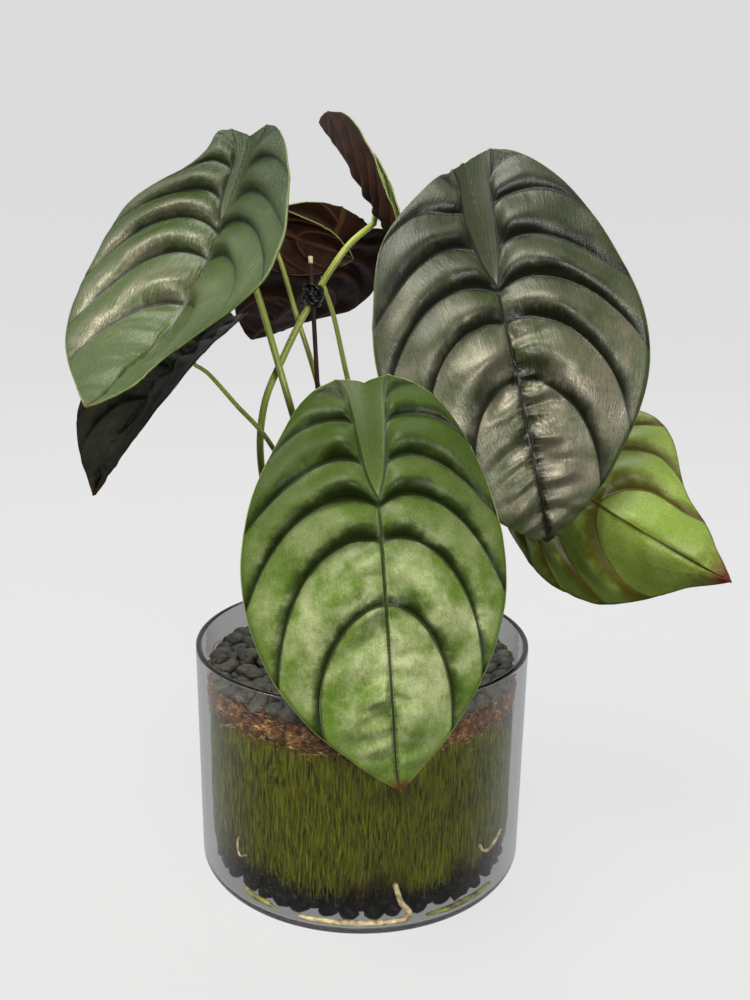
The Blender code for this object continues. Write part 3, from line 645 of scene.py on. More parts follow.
def shapeBetweenRibs(bm, layers, leaf, axes, sign, rows):
    # the strip between the basal ribs, from the notch to the hub
    placeLayer, edgeLayer = layers
    length = leaf["length"]
    scale = length / blade["templateLength"]
    columns = blade["innerColumns"]
    notch = curveThrough(notchOutline, columns + 1)[::-1]
    verts = bmesh.ops.create_grid(bm, x_segments=columns, y_segments=len(rows) - 1, size=1)["verts"]
    for row, (_, _, cells) in enumerate(rows):
        ribX, ribY = cells[0][1]
        down = row / (len(rows) - 1)
        middle = notchOutline[0][1] * (1 - down)
        for column in range(columns + 1):
            c = column / columns
            flat = np.array([ribX * (1 - c), ribY * (1 - c) + middle * c])
            blend = max(0, 1 - 4 * down)
            x, y = (flat * (1 - blend) + notch[column] * blend).tolist() if column else (ribX, ribY)
            x = 0 if column == columns else x
            bulge = math.sin(math.pi / 2 * c) ** 0.8 * min(ribX / 0.03, 1)
            lift = -blade["stripDip"] * scale * bulge * min(down * 5, 1) if row else 0
            lift += blade["hubBump"] * math.exp(-(math.hypot(x, y) * length / blade["hubRadius"]) ** 2)
            rib = (ribX - x) * length
            lift += blade["ribHeight"] * max(0, 1 - (rib / blade["ribHalfWidth"]) ** 2)
            vert = verts[row * (columns + 1) + column]
            vert.co = bladePoint(leaf, axes, sign * max(x, 1e-7), y, lift)
            vert[placeLayer] = (0.3, -rib * sign, max(rib, 0))
            vert[edgeLayer] = (rib, down * 0.4 * length, (y + 1) * length)


def buildLeaf(name, leaf, mats, seed, rows, hubRow):
    leaf = {**plainLeaf, **leaf}
    axes = leafAxes(leaf)
    bm = bmesh.new()
    layers = (bm.verts.layers.float_vector.new("leafPlace"), bm.verts.layers.float_vector.new("leafEdges"))
    for sign in (1, -1):
        shapeHalf(bm, layers, leaf, axes, sign, seed + 0.5 * sign, rows, hubRow)
    bmesh.ops.remove_doubles(bm, verts=bm.verts, dist=0.02)
    bmesh.ops.dissolve_degenerate(bm, edges=bm.edges, dist=0.01)
    bmesh.ops.recalc_face_normals(bm, faces=bm.faces)
    bm.normal_update()
    middle = min(bm.faces, key=lambda f: (f.calc_center_median() - Vector(leaf["hub"])).length)
    if middle.normal.dot(axes[2]) < 0:
        bmesh.ops.reverse_faces(bm, faces=bm.faces)
    bmesh.ops.scale(bm, vec=(mm, mm, mm), verts=bm.verts)
    piece = addMesh(name + "_blade", bm, mats)
    solid = piece.modifiers.new("thickness", "SOLIDIFY")
    solid.thickness = blade["thickness"] * mm
    solid.offset = -1
    solid.material_offset = 1
    solid.material_offset_rim = 2
    settle(piece, name)


def leafTop(name, look):
    # Living leaf, waxy and quilted: a silver sheen over green, metallic where the look has metal and a
    # painted sheen on the green leaf, dark tissue and painted shade beside the sunken veins, and painted
    # shade towards the lobes
    mat, shader, add = newMaterial(name, {
        "Coat Weight": look["wax"],
        "Coat Roughness": 0.42,
        "Specular IOR Level": look["gloss"],
    })
    quilt, along, vein = add("SeparateXYZ", {0: add("Attribute", attribute_name="leafPlace")[1]})
    rib, margin, tip = add("SeparateXYZ", {0: add("Attribute", attribute_name="leafEdges")[1]})
    where = add("TexCoord")[3]
    # streaks about 1.1 mm apart along the vein, drawn out across the quilt
    alongStep = add("Math", {0: along, 1: 1 / 1.1}, operation="MULTIPLY")[0]
    quiltStep = add("Math", {0: quilt, 1: 4.5}, operation="MULTIPLY")[0]
    streakAt = add("CombineXYZ", {0: alongStep, 1: quiltStep})[0]
    streak = add("TexNoise", {"Vector": streakAt, "Scale": 1.0, "Detail": 3.0, "Roughness": 0.62})[0]
    blotch = add("TexNoise", {"Vector": where, "Scale": 60.0, "Detail": 4.0, "Roughness": 0.6})[0]
    # grain of about 0.9 mm, as coarse as it needs to show
    grain = add("TexNoise", {"Vector": where, "Scale": 1100.0, "Detail": 3.0})[0]
    # fingers of dark tissue and painted shade reach from the vein, by the streaks, further where the
    # blotches are low
    uneven = add("MapRange", {"Value": blotch, 1: 0.35, 2: 0.65, 3: 1.6, 4: 0.4})[0]
    # long above a vein, on the steep side of the quilt where the shade falls, and short below it; the last
    # quilt has none
    inQuilt = add("Math", {0: quilt, 1: len(veins) - 1.0}, operation="MINIMUM")[0]
    inQuilt = add("Math", {0: inQuilt}, operation="FRACT")[0]
    side = add("MapRange", {"Value": inQuilt, 1: 0.4, 2: 0.6, 3: 1.6, 4: look["fingers"]})[0]
    low = 0.6 - 0.45 * look["fringe"]
    high = 0.6 + 0.4 * look["fringe"]
    finger = add("MapRange", {"Value": streak, 1: 0.34, 2: 0.66, 3: low, 4: high})[0]
    for factor in (uneven, side):
        finger = add("Math", {0: finger, 1: factor}, operation="MULTIPLY")[0]
    reach = add("Math", {0: vein, 1: finger}, operation="DIVIDE")[0]
    lit = add("MapRange", {"Value": reach, 1: 0.0, 2: 1.5}, interpolation_type="SMOOTHSTEP")[0]
    # a comb of the same dark tissue and painted shade stands on the midrib, towards the tip, about 1.6 mm
    # apart, where the folds are shaded
    tipStep = add("Math", {0: tip, 1: 1 / 1.6}, operation="MULTIPLY")[0]
    ribStep = add("Math", {0: rib, 1: 1 / 14}, operation="MULTIPLY")[0]
    combAt = add("CombineXYZ", {0: tipStep, 1: ribStep})[0]
    comb = add("TexNoise", {"Vector": combAt, "Scale": 1.0, "Detail": 3.0, "Roughness": 0.6})[0]
    comb = add("MapRange", {"Value": comb, 1: 0.36, 2: 0.66, 3: low * 0.4, 4: high})[0]
    combTip = add("MapRange", {"Value": tip, 1: 70.0, 2: 115.0, 3: look["comb"], 4: 1.5})[0]
    comb = add("Math", {0: comb, 1: combTip}, operation="MULTIPLY")[0]
    combed = add("Math", {0: rib, 1: comb}, operation="DIVIDE")[0]
    litRib = add("MapRange", {"Value": combed, 1: 0.0, 2: 1.5}, interpolation_type="SMOOTHSTEP")[0]
    lit = add("Math", {0: lit, 1: litRib}, operation="MULTIPLY")[0]
    mixed = add("Math", {0: streak, 1: look["streaks"] * 2}, operation="MULTIPLY")[0]
    mixed = add("Math", {0: blotch, 1: mixed}, operation="ADD")[0]
    low = 0.5 + look["streaks"] + 0.35 * (0.5 - look["silverShare"])
    silver = add("MapRange", {"Value": mixed, 1: low - 0.24, 2: low + 0.24},
                     interpolation_type="SMOOTHSTEP")[0]
    # the margin and the lobes stay greener than the middle; on the green leaf this keeps its painted sheen
    # to the lower half
    inner = add("MapRange", {"Value": margin, 1: 1.0, 2: 14.0, 3: 0.15, 4: 1.0})[0]
    base = add("MapRange", {"Value": tip, 1: 90.0, 2: 170.0, 3: 1.0, 4: 1 - look["greenBase"]})[0]
    # on some leaves the silver keeps to the low side of each quilt and to the left half: a painted highlight
    # where the light from the left is reflected
    lowSide = add("MapRange", {"Value": inQuilt, 1: 0.25, 2: 0.6, 3: look["highSidePaintedSheen"], 4: 1.0})[0]
    leftHalf = add("MapRange", {"Value": along, 1: -3.0, 2: 8.0, 3: 1.0, 4: look["rightHalfPaintedSheen"]})[0]
    for factor in (inner, base, lowSide, leftHalf):
        silver = add("Math", {0: silver, 1: factor}, operation="MULTIPLY")[0]
    tissue = add("Mix", {0: silver, 6: linear(look["green"]), 7: linear(look["silver"])},
                 data_type="RGBA")[0]
    speckleAndBaseShade = add("MapRange", {"Value": grain, 1: 0.3, 2: 0.7, 3: 0.8, 4: 1.2})[0]
    # and darker towards the lobes: painted shade
    paintedBaseShade = add("MapRange", {"Value": tip, 1: 95.0, 2: 165.0, 3: 1.1, 4: look["baseShade"]})[0]
    speckleAndBaseShade = add("Math", {0: speckleAndBaseShade, 1: paintedBaseShade}, operation="MULTIPLY")[0]
    tissue = add("VectorMath", {0: tissue, "Scale": speckleAndBaseShade}, operation="SCALE")[0]
    shaded = add("Mix", {0: lit, 6: linear(look["dark"]), 7: tissue}, data_type="RGBA")[0]
    # the vein itself is a dark line that thins towards the margin, and so is the midrib, to the tip
    veinWidth = add("MapRange", {"Value": margin, 1: 0.0, 2: 50.0, 3: 0.12, 4: 0.34})[0]
    veinShare = add("Math", {0: vein, 1: veinWidth}, operation="DIVIDE")[0]
    onVein = add("MapRange", {"Value": veinShare, 1: 0.6, 2: 1.5, 3: 0.9, 4: 0.0})[0]
    ribWidth = add("MapRange", {"Value": tip, 1: 0.0, 2: 120.0, 3: 0.35, 4: 1.2})[0]
    ribShare = add("Math", {0: rib, 1: ribWidth}, operation="DIVIDE")[0]
    onRib = add("MapRange", {"Value": ribShare, 1: 0.7, 2: 1.1, 3: 0.9, 4: 0.0})[0]
    line = add("Math", {0: onVein, 1: onRib}, operation="MAXIMUM")[0]
    # with a thin pale edge, that fades towards the lobes
    veinRim = add("MapRange", {"Value": veinShare, 1: 1.8, 2: 3.2, 3: 0.3, 4: 0.0})[0]
    ribRim = add("MapRange", {"Value": ribShare, 1: 1.1, 2: 1.5, 3: 0.5, 4: 0.0})[0]
    rim = add("Math", {0: veinRim, 1: ribRim}, operation="MAXIMUM")[0]
    rimFade = add("MapRange", {"Value": tip, 1: 60.0, 2: 105.0, 3: 1.0, 4: 0.15})[0]
    rim = add("Math", {0: rim, 1: rimFade}, operation="MULTIPLY")[0]
    rimmed = add("Mix", {0: rim, 6: shaded, 7: linear(look["silver"])}, data_type="RGBA")[0]
    lined = add("Mix", {0: line, 6: rimmed, 7: linear(look["vein"])}, data_type="RGBA")[0]
    nearEdge = add("MapRange", {"Value": margin, 1: 0.3, 2: 1.3, 3: 1.0, 4: 0.0})[0]
    edged = add("Mix", {0: nearEdge, 6: lined, 7: linear(look["margin"])}, data_type="RGBA")[0]
    dryTip = add("MapRange", {"Value": blotch, 1: 0.3, 2: 0.7, 3: 0.4, 4: 1.6})[0]
    dryTip = add("Math", {0: tip, 1: dryTip}, operation="MULTIPLY")[0]
    dried = add("MapRange", {"Value": dryTip, 1: look["dry"][0], 2: look["dry"][1], 3: 1.0, 4: 0.0})[0]
    colour = add("Mix", {0: dried, 6: edged, 7: linear(look["tip"])}, data_type="RGBA")[0]
    metal = silver
    for factor in (lit, look["metal"]):
        metal = add("Math", {0: metal, 1: factor}, operation="MULTIPLY")[0]
    rough = add("MapRange", {"Value": streak, 3: look["rough"] - 0.08, 4: look["rough"] + 0.14})[0]
    streaked = add("Math", {0: streak, 1: look["combed"]}, operation="MULTIPLY")[0]
    height = add("Math", {0: grain, 1: 0.3}, operation="MULTIPLY")[0]
    height = add("Math", {0: streaked, 1: height}, operation="ADD")[0]
    bump = add("Bump", {"Height": height, "Strength": 0.8, "Distance": 0.35 * mm})[0]
    return feed(mat, shader, {"Base Color": colour, "Metallic": metal, "Roughness": rough, "Normal": bump})


def leafUnder(name, look):
    # Underside of the blade: matt, maroon or olive, with raised veins that catch more light
    mat, shader, add = newMaterial(name, {"Specular IOR Level": 0.1})
    vein = add("SeparateXYZ", {0: add("Attribute", attribute_name="leafPlace")[1]})[2]
    rib = add("SeparateXYZ", {0: add("Attribute", attribute_name="leafEdges")[1]})[0]
    where = add("TexCoord")[3]
    mottle = add("TexNoise", {"Vector": where, "Scale": 120.0, "Detail": 4.0})[0]
    skin = add("Mix", {0: mottle, 6: linear(look["under"], 0.62), 7: linear(look["under"])},
               data_type="RGBA")[0]
    onVein = add("MapRange", {"Value": vein, 1: 0.2, 2: 0.9, 3: 1.0, 4: 0.0})[0]
    onRib = add("MapRange", {"Value": rib, 1: 0.8, 2: 1.8, 3: 1.0, 4: 0.0})[0]
    line = add("Math", {0: onVein, 1: onRib}, operation="MAXIMUM")[0]
    colour = add("Mix", {0: line, 6: skin, 7: linear(look["underVein"])}, data_type="RGBA")[0]
    rough = add("MapRange", {"Value": mottle, 3: 0.42, 4: 0.6})[0]
    height = add("Math", {0: line, 1: 1.5}, operation="MULTIPLY")[0]
    height = add("Math", {0: mottle, 1: height}, operation="ADD")[0]
    bump = add("Bump", {"Height": height, "Strength": 0.7, "Distance": 0.3 * mm})[0]
    return feed(mat, shader, {"Base Color": colour, "Roughness": rough, "Normal": bump})


def leafEdge(name, look):
    # Side of the blade at its margin: paler skin with a fine mottle
    mat, shader, add = newMaterial(name, {"Roughness": 0.45})
    where = add("TexCoord")[3]
    mottle = add("TexNoise", {"Vector": where, "Scale": 150.0, "Detail": 2.0})[0]
    colour = add("Mix", {0: mottle, 6: linear(look["margin"], 0.6), 7: linear(look["margin"])},
                 data_type="RGBA")[0]
    return feed(mat, shader, {"Base Color": colour})


def buildLeaves():
    rows, hubRow = leafRows()
    mats = {}
    for key, look in leafLooks.items():
        look = {**plainLook, **look}
        mats[key] = [leafTop(key + "LeafTop", look), leafUnder(key + "LeafUnder", look),
                     leafEdge(key + "LeafMargin", look)]
    for seed, (name, leaf) in enumerate(leaves.items()):
        buildLeaf(name, leaf, mats[leaf["look"]], 3.7 * seed, rows, hubRow)


# Petioles

stems = {
    "stem_front": dict(
        leaf="leaf_front", radius=(2.6, 1.9), foot=(-3, -23),
        way=[(-1, -30, 170), (3, -58, 222)],
    ),
    "stem_right": dict(
        leaf="leaf_right", radius=(2.6, 1.9), foot=(15, -12),
        way=[(22, -9, 200), (48, -6, 290), (64, -18, 334)],
    ),
    "stem_left": dict(
        leaf="leaf_left", nearer=0.8, radius=(2.4, 1.8), foot=(-6, -12),
        way=[(-20, -12, 200), (-40.7, -10, 273), (-50.5, -8, 307), (-60.8, -2, 340), (-69, -4, 362)],
    ),
    "stem_left_low": dict(
        leaf="leaf_left_low", radius=(2.0, 1.2), foot=(-23, 9),
        way=[(-30, 4, 200), (-53, -4, 253), (-75, 3, 277), (-92, 14, 293)],
    ),
    "stem_back_small": dict(
        leaf="leaf_back_small", radius=(2.0, 1.3), foot=(-4, 7),
        way=[(-12, 11, 220), (-28, 15, 287), (-40, 16, 326), (-50.5, 15, 361)],
    ),
    "stem_top_rolled": dict(
        leaf="leaf_top_rolled", radius=(2.4, 1.8), foot=(-33, -2),
        way=[(-50, 1, 190), (-60.4, 2, 240), (-58.5, 2, 276), (-46.5, 4, 306),
             (-32, 8, 334.5), (-12.4, 11, 365)],
    ),
    "stem_right_low": dict(
        leaf="leaf_right_low", radius=(2.4, 1.7), foot=(25, 3),
        way=[(48, 28, 165), (76, 56, 212), (92, 50, 230), (105, 24, 234)],
    ),
    "stem_back": dict(
        leaf="leaf_back", radius=(2.1, 1.4), foot=(10, 19),
        way=[(6, 24, 220), (-11.4, 34, 290), (-20, 45, 325)],
    ),
}
petiole = {
    "footZ": 100.0,
    "freeZ": 131.0,
    "gap": 0.35,
    "rings": 48,
    "sides": 16,
    "pale": "#b4c15a",
    "deep": "#8d9b3c",
    "sheath": "#877c3a",
}


def petioleMaterial():
    # Fleshy leaf stalk: yellow green and satin, with fine lengthwise lines and a duller foot
    mat, shader, add = newMaterial("fleshyPetiole", {
        "Specular IOR Level": 0.45,
        "Coat Weight": 0.25,
        "Coat Roughness": 0.3,
    })
    where = add("TexCoord")[3]
    stretched = add("Mapping", {"Vector": where, "Scale": (500, 500, 60)})[0]
    lines = add("TexNoise", {"Vector": stretched, "Scale": 1.0, "Detail": 2.0})[0]
    blotch = add("TexNoise", {"Vector": where, "Scale": 60.0, "Detail": 3.0})[0]
    share = add("MapRange", {"Value": blotch, 1: 0.3, 2: 0.7})[0]
    skin = add("Mix", {0: share, 6: linear(petiole["deep"]), 7: linear(petiole["pale"])},
               data_type="RGBA")[0]
    height = add("SeparateXYZ", {0: where})[2]
    low = add("MapRange", {"Value": height, 1: 0.125, 2: 0.17, 3: 0.8, 4: 0.0})[0]
    colour = add("Mix", {0: low, 6: skin, 7: linear(petiole["sheath"])}, data_type="RGBA")[0]
    rough = add("MapRange", {"Value": lines, 3: 0.36, 4: 0.46})[0]
    bump = add("Bump", {"Height": lines, "Strength": 0.2, "Distance": 0.05 * mm})[0]
    return feed(mat, shader, {"Base Color": colour, "Roughness": rough, "Normal": bump})


def stemLine(stem, count):
    leaf = leaves[stem["leaf"]]
    out = leafAxes(leaf)[2]
    slope = math.tan(math.radians(max(0, -min(leaf["fold"]))))
    under = blade["thickness"] + petiole["gap"] + stem["radius"][1] * slope - stem.get("nearer", 0)
    end = Vector(leaf["hub"]) - under * out
    before = end - 7 * out
    x, y = stem["foot"]
    given = [(x, y, petiole["freeZ"])] + stem["way"] + [tuple(before)]
    return [(x, y, petiole["footZ"])] + [tuple(p) for p in curveThrough(given, count)] + [tuple(end)]


def buildStems():
    mat = petioleMaterial()
    for name, stem in stems.items():
        points = stemLine(stem, petiole["rings"])
        foot, top = stem["radius"]
        steps = len(points) - 1
        radii = [foot + (top - foot) * k / steps for k in range(steps + 1)]
        piece = addMesh(name + "_petiole", tubeMesh([(points, radii)], petiole["sides"]), [mat])
        settle(piece, name)


# Support stick and its tie

support = {
    "radius": 1.4,
    "foot": (-17, -3, 100),
    "tip": (-31.5, 2.8, 361),
    "bark": "#3d2217",
    "barkDark": "#1c0e0a",
    "cut": "#d8c8a4",
    "tieCentre": (-30.2, 5.2, 340),
    "tieLoops": 9,
    "tieAcross": (5.2, 6.6),
    "tieDeep": (4.4, 6.0),
    "tieRadius": 1.15,
    "tieBlack": "#08090a",
    "tieScuff": "#17181a",
}


def stickMaterial():
    # Stained bamboo cane: dark red brown, dull, with a pale slanted cut at the top
    mat, shader, add = newMaterial("stainedCane", {"Specular IOR Level": 0.4})
    where = add("TexCoord")[3]
    stretched = add("Mapping", {"Vector": where, "Scale": (1200, 1200, 60)})[0]
    grain = add("TexNoise", {"Vector": stretched, "Scale": 1.0, "Detail": 3.0})[0]
    wood = add("Mix", {0: grain, 6: linear(support["barkDark"]), 7: linear(support["bark"])},
               data_type="RGBA")[0]
    height = add("SeparateXYZ", {0: where})[2]
    cut = add("MapRange", {"Value": height, 1: 0.3567, 2: 0.3577, 3: 0.0, 4: 1.0})[0]
    colour = add("Mix", {0: cut, 6: wood, 7: linear(support["cut"])}, data_type="RGBA")[0]
    rough = add("MapRange", {"Value": grain, 3: 0.5, 4: 0.75})[0]
    bump = add("Bump", {"Height": grain, "Strength": 0.6, "Distance": 0.2 * mm})[0]
    return feed(mat, shader, {"Base Color": colour, "Roughness": rough, "Normal": bump})


def tieMaterial():
    # Wire tie in soft black PVC: glossy and moulded smooth
    mat, shader, add = newMaterial("blackPvcTie", {"Specular IOR Level": 0.35})
    where = add("TexCoord")[3]
    scuff = add("TexNoise", {"Vector": where, "Scale": 700.0, "Detail": 2.0})[0]
    colour = add("Mix", {0: scuff, 6: linear(support["tieBlack"]), 7: linear(support["tieScuff"])},
                 data_type="RGBA")[0]
    rough = add("MapRange", {"Value": scuff, 3: 0.16, 4: 0.4})[0]
    return feed(mat, shader, {"Base Color": colour, "Roughness": rough})


def buildSupport():
    foot = Vector(support["foot"])
    tip = Vector(support["tip"])
    points = [tuple(foot.lerp(tip, k / 60)) for k in range(61)]
    draw = random.Random(21)
    radii = [support["radius"] * draw.uniform(0.94, 1.04) for _ in points]
    piece = addMesh("support_cane", tubeMesh([(points, radii)], 12), [stickMaterial()])
    settle(piece, "support_stick")
    draw = random.Random(4)
    centre = Vector(support["tieCentre"])
    loops = []
    for loop in range(support["tieLoops"]):
        lean = Euler((draw.uniform(-0.7, 0.7), draw.uniform(-0.7, 0.7), draw.uniform(0, 3))).to_matrix()
        across = draw.uniform(*support["tieAcross"])
        deep = draw.uniform(*support["tieDeep"])
        shift = Vector((draw.uniform(-0.6, 0.6), draw.uniform(-0.6, 0.6), draw.uniform(-2.6, 2.6)))
        ring = []
        for k in range(19):
            turn = 2 * math.pi * k / 17
            wave = 0.7 * math.sin(3 * turn + loop)
            flat = Vector((across * math.cos(turn), deep * math.sin(turn), wave))
            ring.append(tuple(centre + shift + lean @ flat))
        loops.append((ring, [support["tieRadius"]] * len(ring)))
    piece = addMesh("stem_tie", tubeMesh(loops, 12), [tieMaterial()])
    settle(piece, "stem_clip")


# Stones, in the bottom of the vase and on top

drain = {
    "low": 4.0,
    "top": 22.5,
    "core": 78,    # a plain disc fills the middle, where no stone is seen
    "wallRadius": 91.2,
    # radius, height and number of stones in each ring
    "rings": [(82.5, 5.0, 42), (81.5, 12.8, 41), (82.2, 19.6, 42), (76, 9, 38), (74, 19.5, 36)],
    "halfSizes": [(4.6, 5.6), (5.6, 7.6), (3.8, 5.0)],
    "seed": 5,
}
topBed = {
    "bed": [(0, 117.5), (87, 117.5), (89, 118.5), (87, 120), (0, 121)],
    "radius": 94.2,
    "z": 121.0,
    "rings": [88.7, 79, 69.5, 60, 50.5, 41, 31, 21.5, 11.5, 2],
    "spacing": 11.6,
    "loose": 70,
    "looseRadius": 84,
    "halfSizes": [(5.0, 6.6), (6.4, 8.2), (3.2, 4.3)],
    "clear": 6.4,
    "seed": 11,
}
stoneLooks = {
    "blackPebbleTop": {"dark": "#16160f", "pale": "#3d3c33", "dust": "#66645a", "dustShare": 0.4,
                       "gloss": 0.35, "rough": 0.45},
    "blackPebbleLow": {"dark": "#030201", "pale": "#0e0b07", "dust": "#2c271e", "dustShare": 0.05,
                       "gloss": 0.1, "rough": 0.3},
}


def stoneMaterial(name, look):
    # Tumbled basalt pebbles: near black, dry and dusty on top, wetter looking below
    mat, shader, add = newMaterial(name, {"Specular IOR Level": look["gloss"]})
    tone = add("Attribute", attribute_name="stoneTone")[2]
    where = add("TexCoord")[3]
    grain = add("TexNoise", {"Vector": where, "Scale": 420.0, "Detail": 5.0, "Roughness": 0.65})[0]
    body = add("Mix", {0: tone, 6: linear(look["dark"]), 7: linear(look["pale"])}, data_type="RGBA")[0]
    upward = add("SeparateXYZ", {0: add("NewGeometry")[1]})[2]
    settled = add("MapRange", {"Value": upward, 1: -0.1, 2: 1.0, 3: 0.1, 4: 1.0})[0]
    patchy = add("MapRange", {"Value": grain, 1: 0.35, 2: 0.68})[0]
    dust = settled
    for factor in (patchy, look["dustShare"]):
        dust = add("Math", {0: dust, 1: factor}, operation="MULTIPLY")[0]
    colour = add("Mix", {0: dust, 6: body, 7: linear(look["dust"])}, data_type="RGBA")[0]
    rough = add("MapRange", {"Value": grain, 3: look["rough"] - 0.15, 4: look["rough"] + 0.2})[0]
    bump = add("Bump", {"Height": grain, "Strength": 0.7, "Distance": 0.35 * mm})[0]
    return feed(mat, shader, {"Base Color": colour, "Roughness": rough, "Normal": bump})


def shapeStone(bm, tone, draw, where, half, turn):
    # one pebble of a few dozen faces: a flattened ball, made uneven
    verts = bmesh.ops.create_uvsphere(bm, u_segments=9, v_segments=6, radius=1)["verts"]
    offset = Vector((draw.uniform(0, 50), draw.uniform(0, 50), draw.uniform(0, 50)))
    shade = draw.random()
    rotation = Euler(turn).to_matrix()
    for vert in verts:
        lump = 1 + 0.34 * noise.noise(vert.co * 1.2 + offset)
        shaped = Vector((vert.co.x * half[0], vert.co.y * half[1], vert.co.z * half[2])) * lump
        vert.co = (rotation @ shaped + Vector(where)) * mm
        vert[tone] = shade


def addStones(bm, draw, stones):
    # a few at a time, because an operator slows down in a large mesh
    bm.verts.layers.float.new("stoneTone")
    for first in range(0, len(stones), 24):
        some = bmesh.new()
        tone = some.verts.layers.float.new("stoneTone")
        for where, half, turn in stones[first:first + 24]:
            shapeStone(some, tone, draw, where, half, turn)
        joinMesh(bm, some)


def buildDrain():
    draw = random.Random(drain["seed"])
    low, top, core = drain["low"], drain["top"] - 1, drain["core"]
    bm = spinProfile([(0, low), (core - 2, low), (core, low + 2), (core, top), (0, top)], 48)
    outer = drain["rings"][0][0]
    stones = []
    for radius, z, count in drain["rings"]:
        start = draw.uniform(0, 2 * math.pi)
        for k in range(count):
            turn = start + 2 * math.pi * (k + draw.uniform(-0.16, 0.16)) / count
            half = [draw.uniform(*limits) for limits in drain["halfSizes"]]
            r = drain["wallRadius"] - half[0] - (outer - radius) - draw.uniform(0, 0.8)
            height = max(z + draw.uniform(-1.2, 1.2), low + half[2] * 1.05)
            tilt = (draw.uniform(-0.5, 0.5), draw.uniform(-0.25, 0.25), turn)
            stones.append(((r * math.cos(turn), r * math.sin(turn), height), half, tilt))
    addStones(bm, draw, stones)
    piece = addMesh("drainage_stones", bm, [stoneMaterial("blackPebbleLow", stoneLooks["blackPebbleLow"])])
    settle(piece, "drainage_pebbles")


def clearOfStems(x, y, reach):
    # moves a place away from the stems and the stick, each in its own hole
    for stem in list(stems.values()) + [{"foot": support["foot"][:2], "radius": (support["radius"], 0)}]:
        dx = x - stem["foot"][0]
        dy = y - stem["foot"][1]
        gap = math.hypot(dx, dy)
        need = reach + stem["radius"][0]
        if gap < need:
            x = stem["foot"][0] + dx / max(gap, 0.01) * need
            y = stem["foot"][1] + dy / max(gap, 0.01) * need
    return x, y


def buildTopStones():
    draw = random.Random(topBed["seed"])
    bm = spinProfile(topBed["bed"], 48)
    places = []
    for radius in topBed["rings"]:
        count = max(1, round(2 * math.pi * radius / topBed["spacing"]))
        start = draw.uniform(0, 2 * math.pi)
        for k in range(count):
            turn = start + 2 * math.pi * (k + draw.uniform(-0.2, 0.2)) / count
            r = radius + draw.uniform(-2.2, 1.2)
            places.append((r * math.cos(turn), r * math.sin(turn), topBed["z"] + draw.uniform(0, 1.6)))
    for _ in range(topBed["loose"]):
        turn = draw.uniform(0, 2 * math.pi)
        r = topBed["looseRadius"] * math.sqrt(draw.random())
        places.append((r * math.cos(turn), r * math.sin(turn), topBed["z"] + draw.uniform(3.2, 4.6)))
    stones = []
    for x, y, z in places:
        half = [draw.uniform(*limits) for limits in topBed["halfSizes"]]
        x, y = clearOfStems(x, y, topBed["clear"])
        r = math.hypot(x, y)
        most = topBed["radius"] - half[1]
        if r > most:
            x *= most / r
            y *= most / r
        tilt = (draw.uniform(-0.3, 0.3), draw.uniform(-0.3, 0.3), draw.uniform(0, math.pi))
        stones.append(((x, y, z), half, tilt))
    addStones(bm, draw, stones)
    piece = addMesh("top_stones", bm, [stoneMaterial("blackPebbleTop", stoneLooks["blackPebbleTop"])])
    settle(piece, "top_pebbles")


# Moss sleeve and coir collar

moss = {
    "radius": 90.6,
    "inner": 84.35,
    "low": 24.0,
    "high": 107.0,
    "strands": 4600,
    "length": (16, 44),
    "outwards": (0.1, 1.6),
    "drift": 1.6,    # degrees round the vase
    "thick": (0.22, 0.42),
    "taper": (0.5, 1, 1, 0.9, 0.35),
    "seed": 2,
    "bright": "#676b0c",
    "mid": "#363800",
    "dark": "#0b0b00",
    "brown": "#2a190a",
}
coir = {
    "mat": [(0, 112.4), (84.4, 112.4), (84.4, 108), (89.8, 107.6), (90.6, 112), (88.8, 116), (0, 116)],
    "fibres": 2300,
    "length": (9, 30),
    "radius": (89.4, 93.2),
    "height": (112.8, 4.0),    # of the middle of a fibre, and how far it strays
    "heightLimits": (98.5, 124.5),
    "lean": 0.45,
    "bow": (-4, 4),
    "thick": (0.16, 0.32),
    "taper": (0.4, 0.9, 1, 1, 1, 0.9, 0.4),
    "seed": 8,
    "pale": "#c8a570",
    "mid": "#7c5636",
    "dark": "#22140a",
}


def mossMaterial():
    # Live sheet moss pressed against glass: olive threads with painted shade in the dark gaps between them,
    # and a few brown patches
    mat, shader, add = newMaterial("pressedMoss", {"Specular IOR Level": 0.02})
    where = add("TexCoord")[3]
    # threads are about 0.9 mm across and 12 mm long before they change colour
    stretched = add("Mapping", {"Vector": where, "Scale": (1100, 1100, 80)})[0]
    thread = add("TexNoise", {"Vector": stretched, "Scale": 1.0, "Detail": 3.0})[0]
    patch = add("TexNoise", {"Vector": where, "Scale": 38.0, "Detail": 3.0})[0]
    share = add("MapRange", {"Value": thread, 1: 0.38, 2: 0.66})[0]
    green = add("Mix", {0: share, 6: linear(moss["mid"]), 7: linear(moss["bright"])}, data_type="RGBA")[0]
    # painted shade: the gaps between the threads go dark
    shade = add("MapRange", {"Value": thread, 1: 0.3, 2: 0.43, 3: 1.0, 4: 0.0})[0]
    dimmed = add("Mix", {0: shade, 6: green, 7: linear(moss["dark"])}, data_type="RGBA")[0]
    # browner in patches, and near the stones at the foot
    height = add("SeparateXYZ", {0: where})[2]
    foot = add("MapRange", {"Value": height, 1: 0.02, 2: 0.045, 3: 0.2, 4: 0.0})[0]
    worn = add("Math", {0: patch, 1: foot}, operation="ADD")[0]
    dry = add("MapRange", {"Value": worn, 1: 0.58, 2: 0.74, 3: 0.0, 4: 0.85})[0]
    colour = add("Mix", {0: dry, 6: dimmed, 7: linear(moss["brown"])}, data_type="RGBA")[0]
    rough = add("MapRange", {"Value": thread, 3: 0.6, 4: 0.85})[0]
    bump = add("Bump", {"Height": thread, "Strength": 0.8, "Distance": 0.6 * mm})[0]
    return feed(mat, shader, {"Base Color": colour, "Roughness": rough, "Normal": bump})


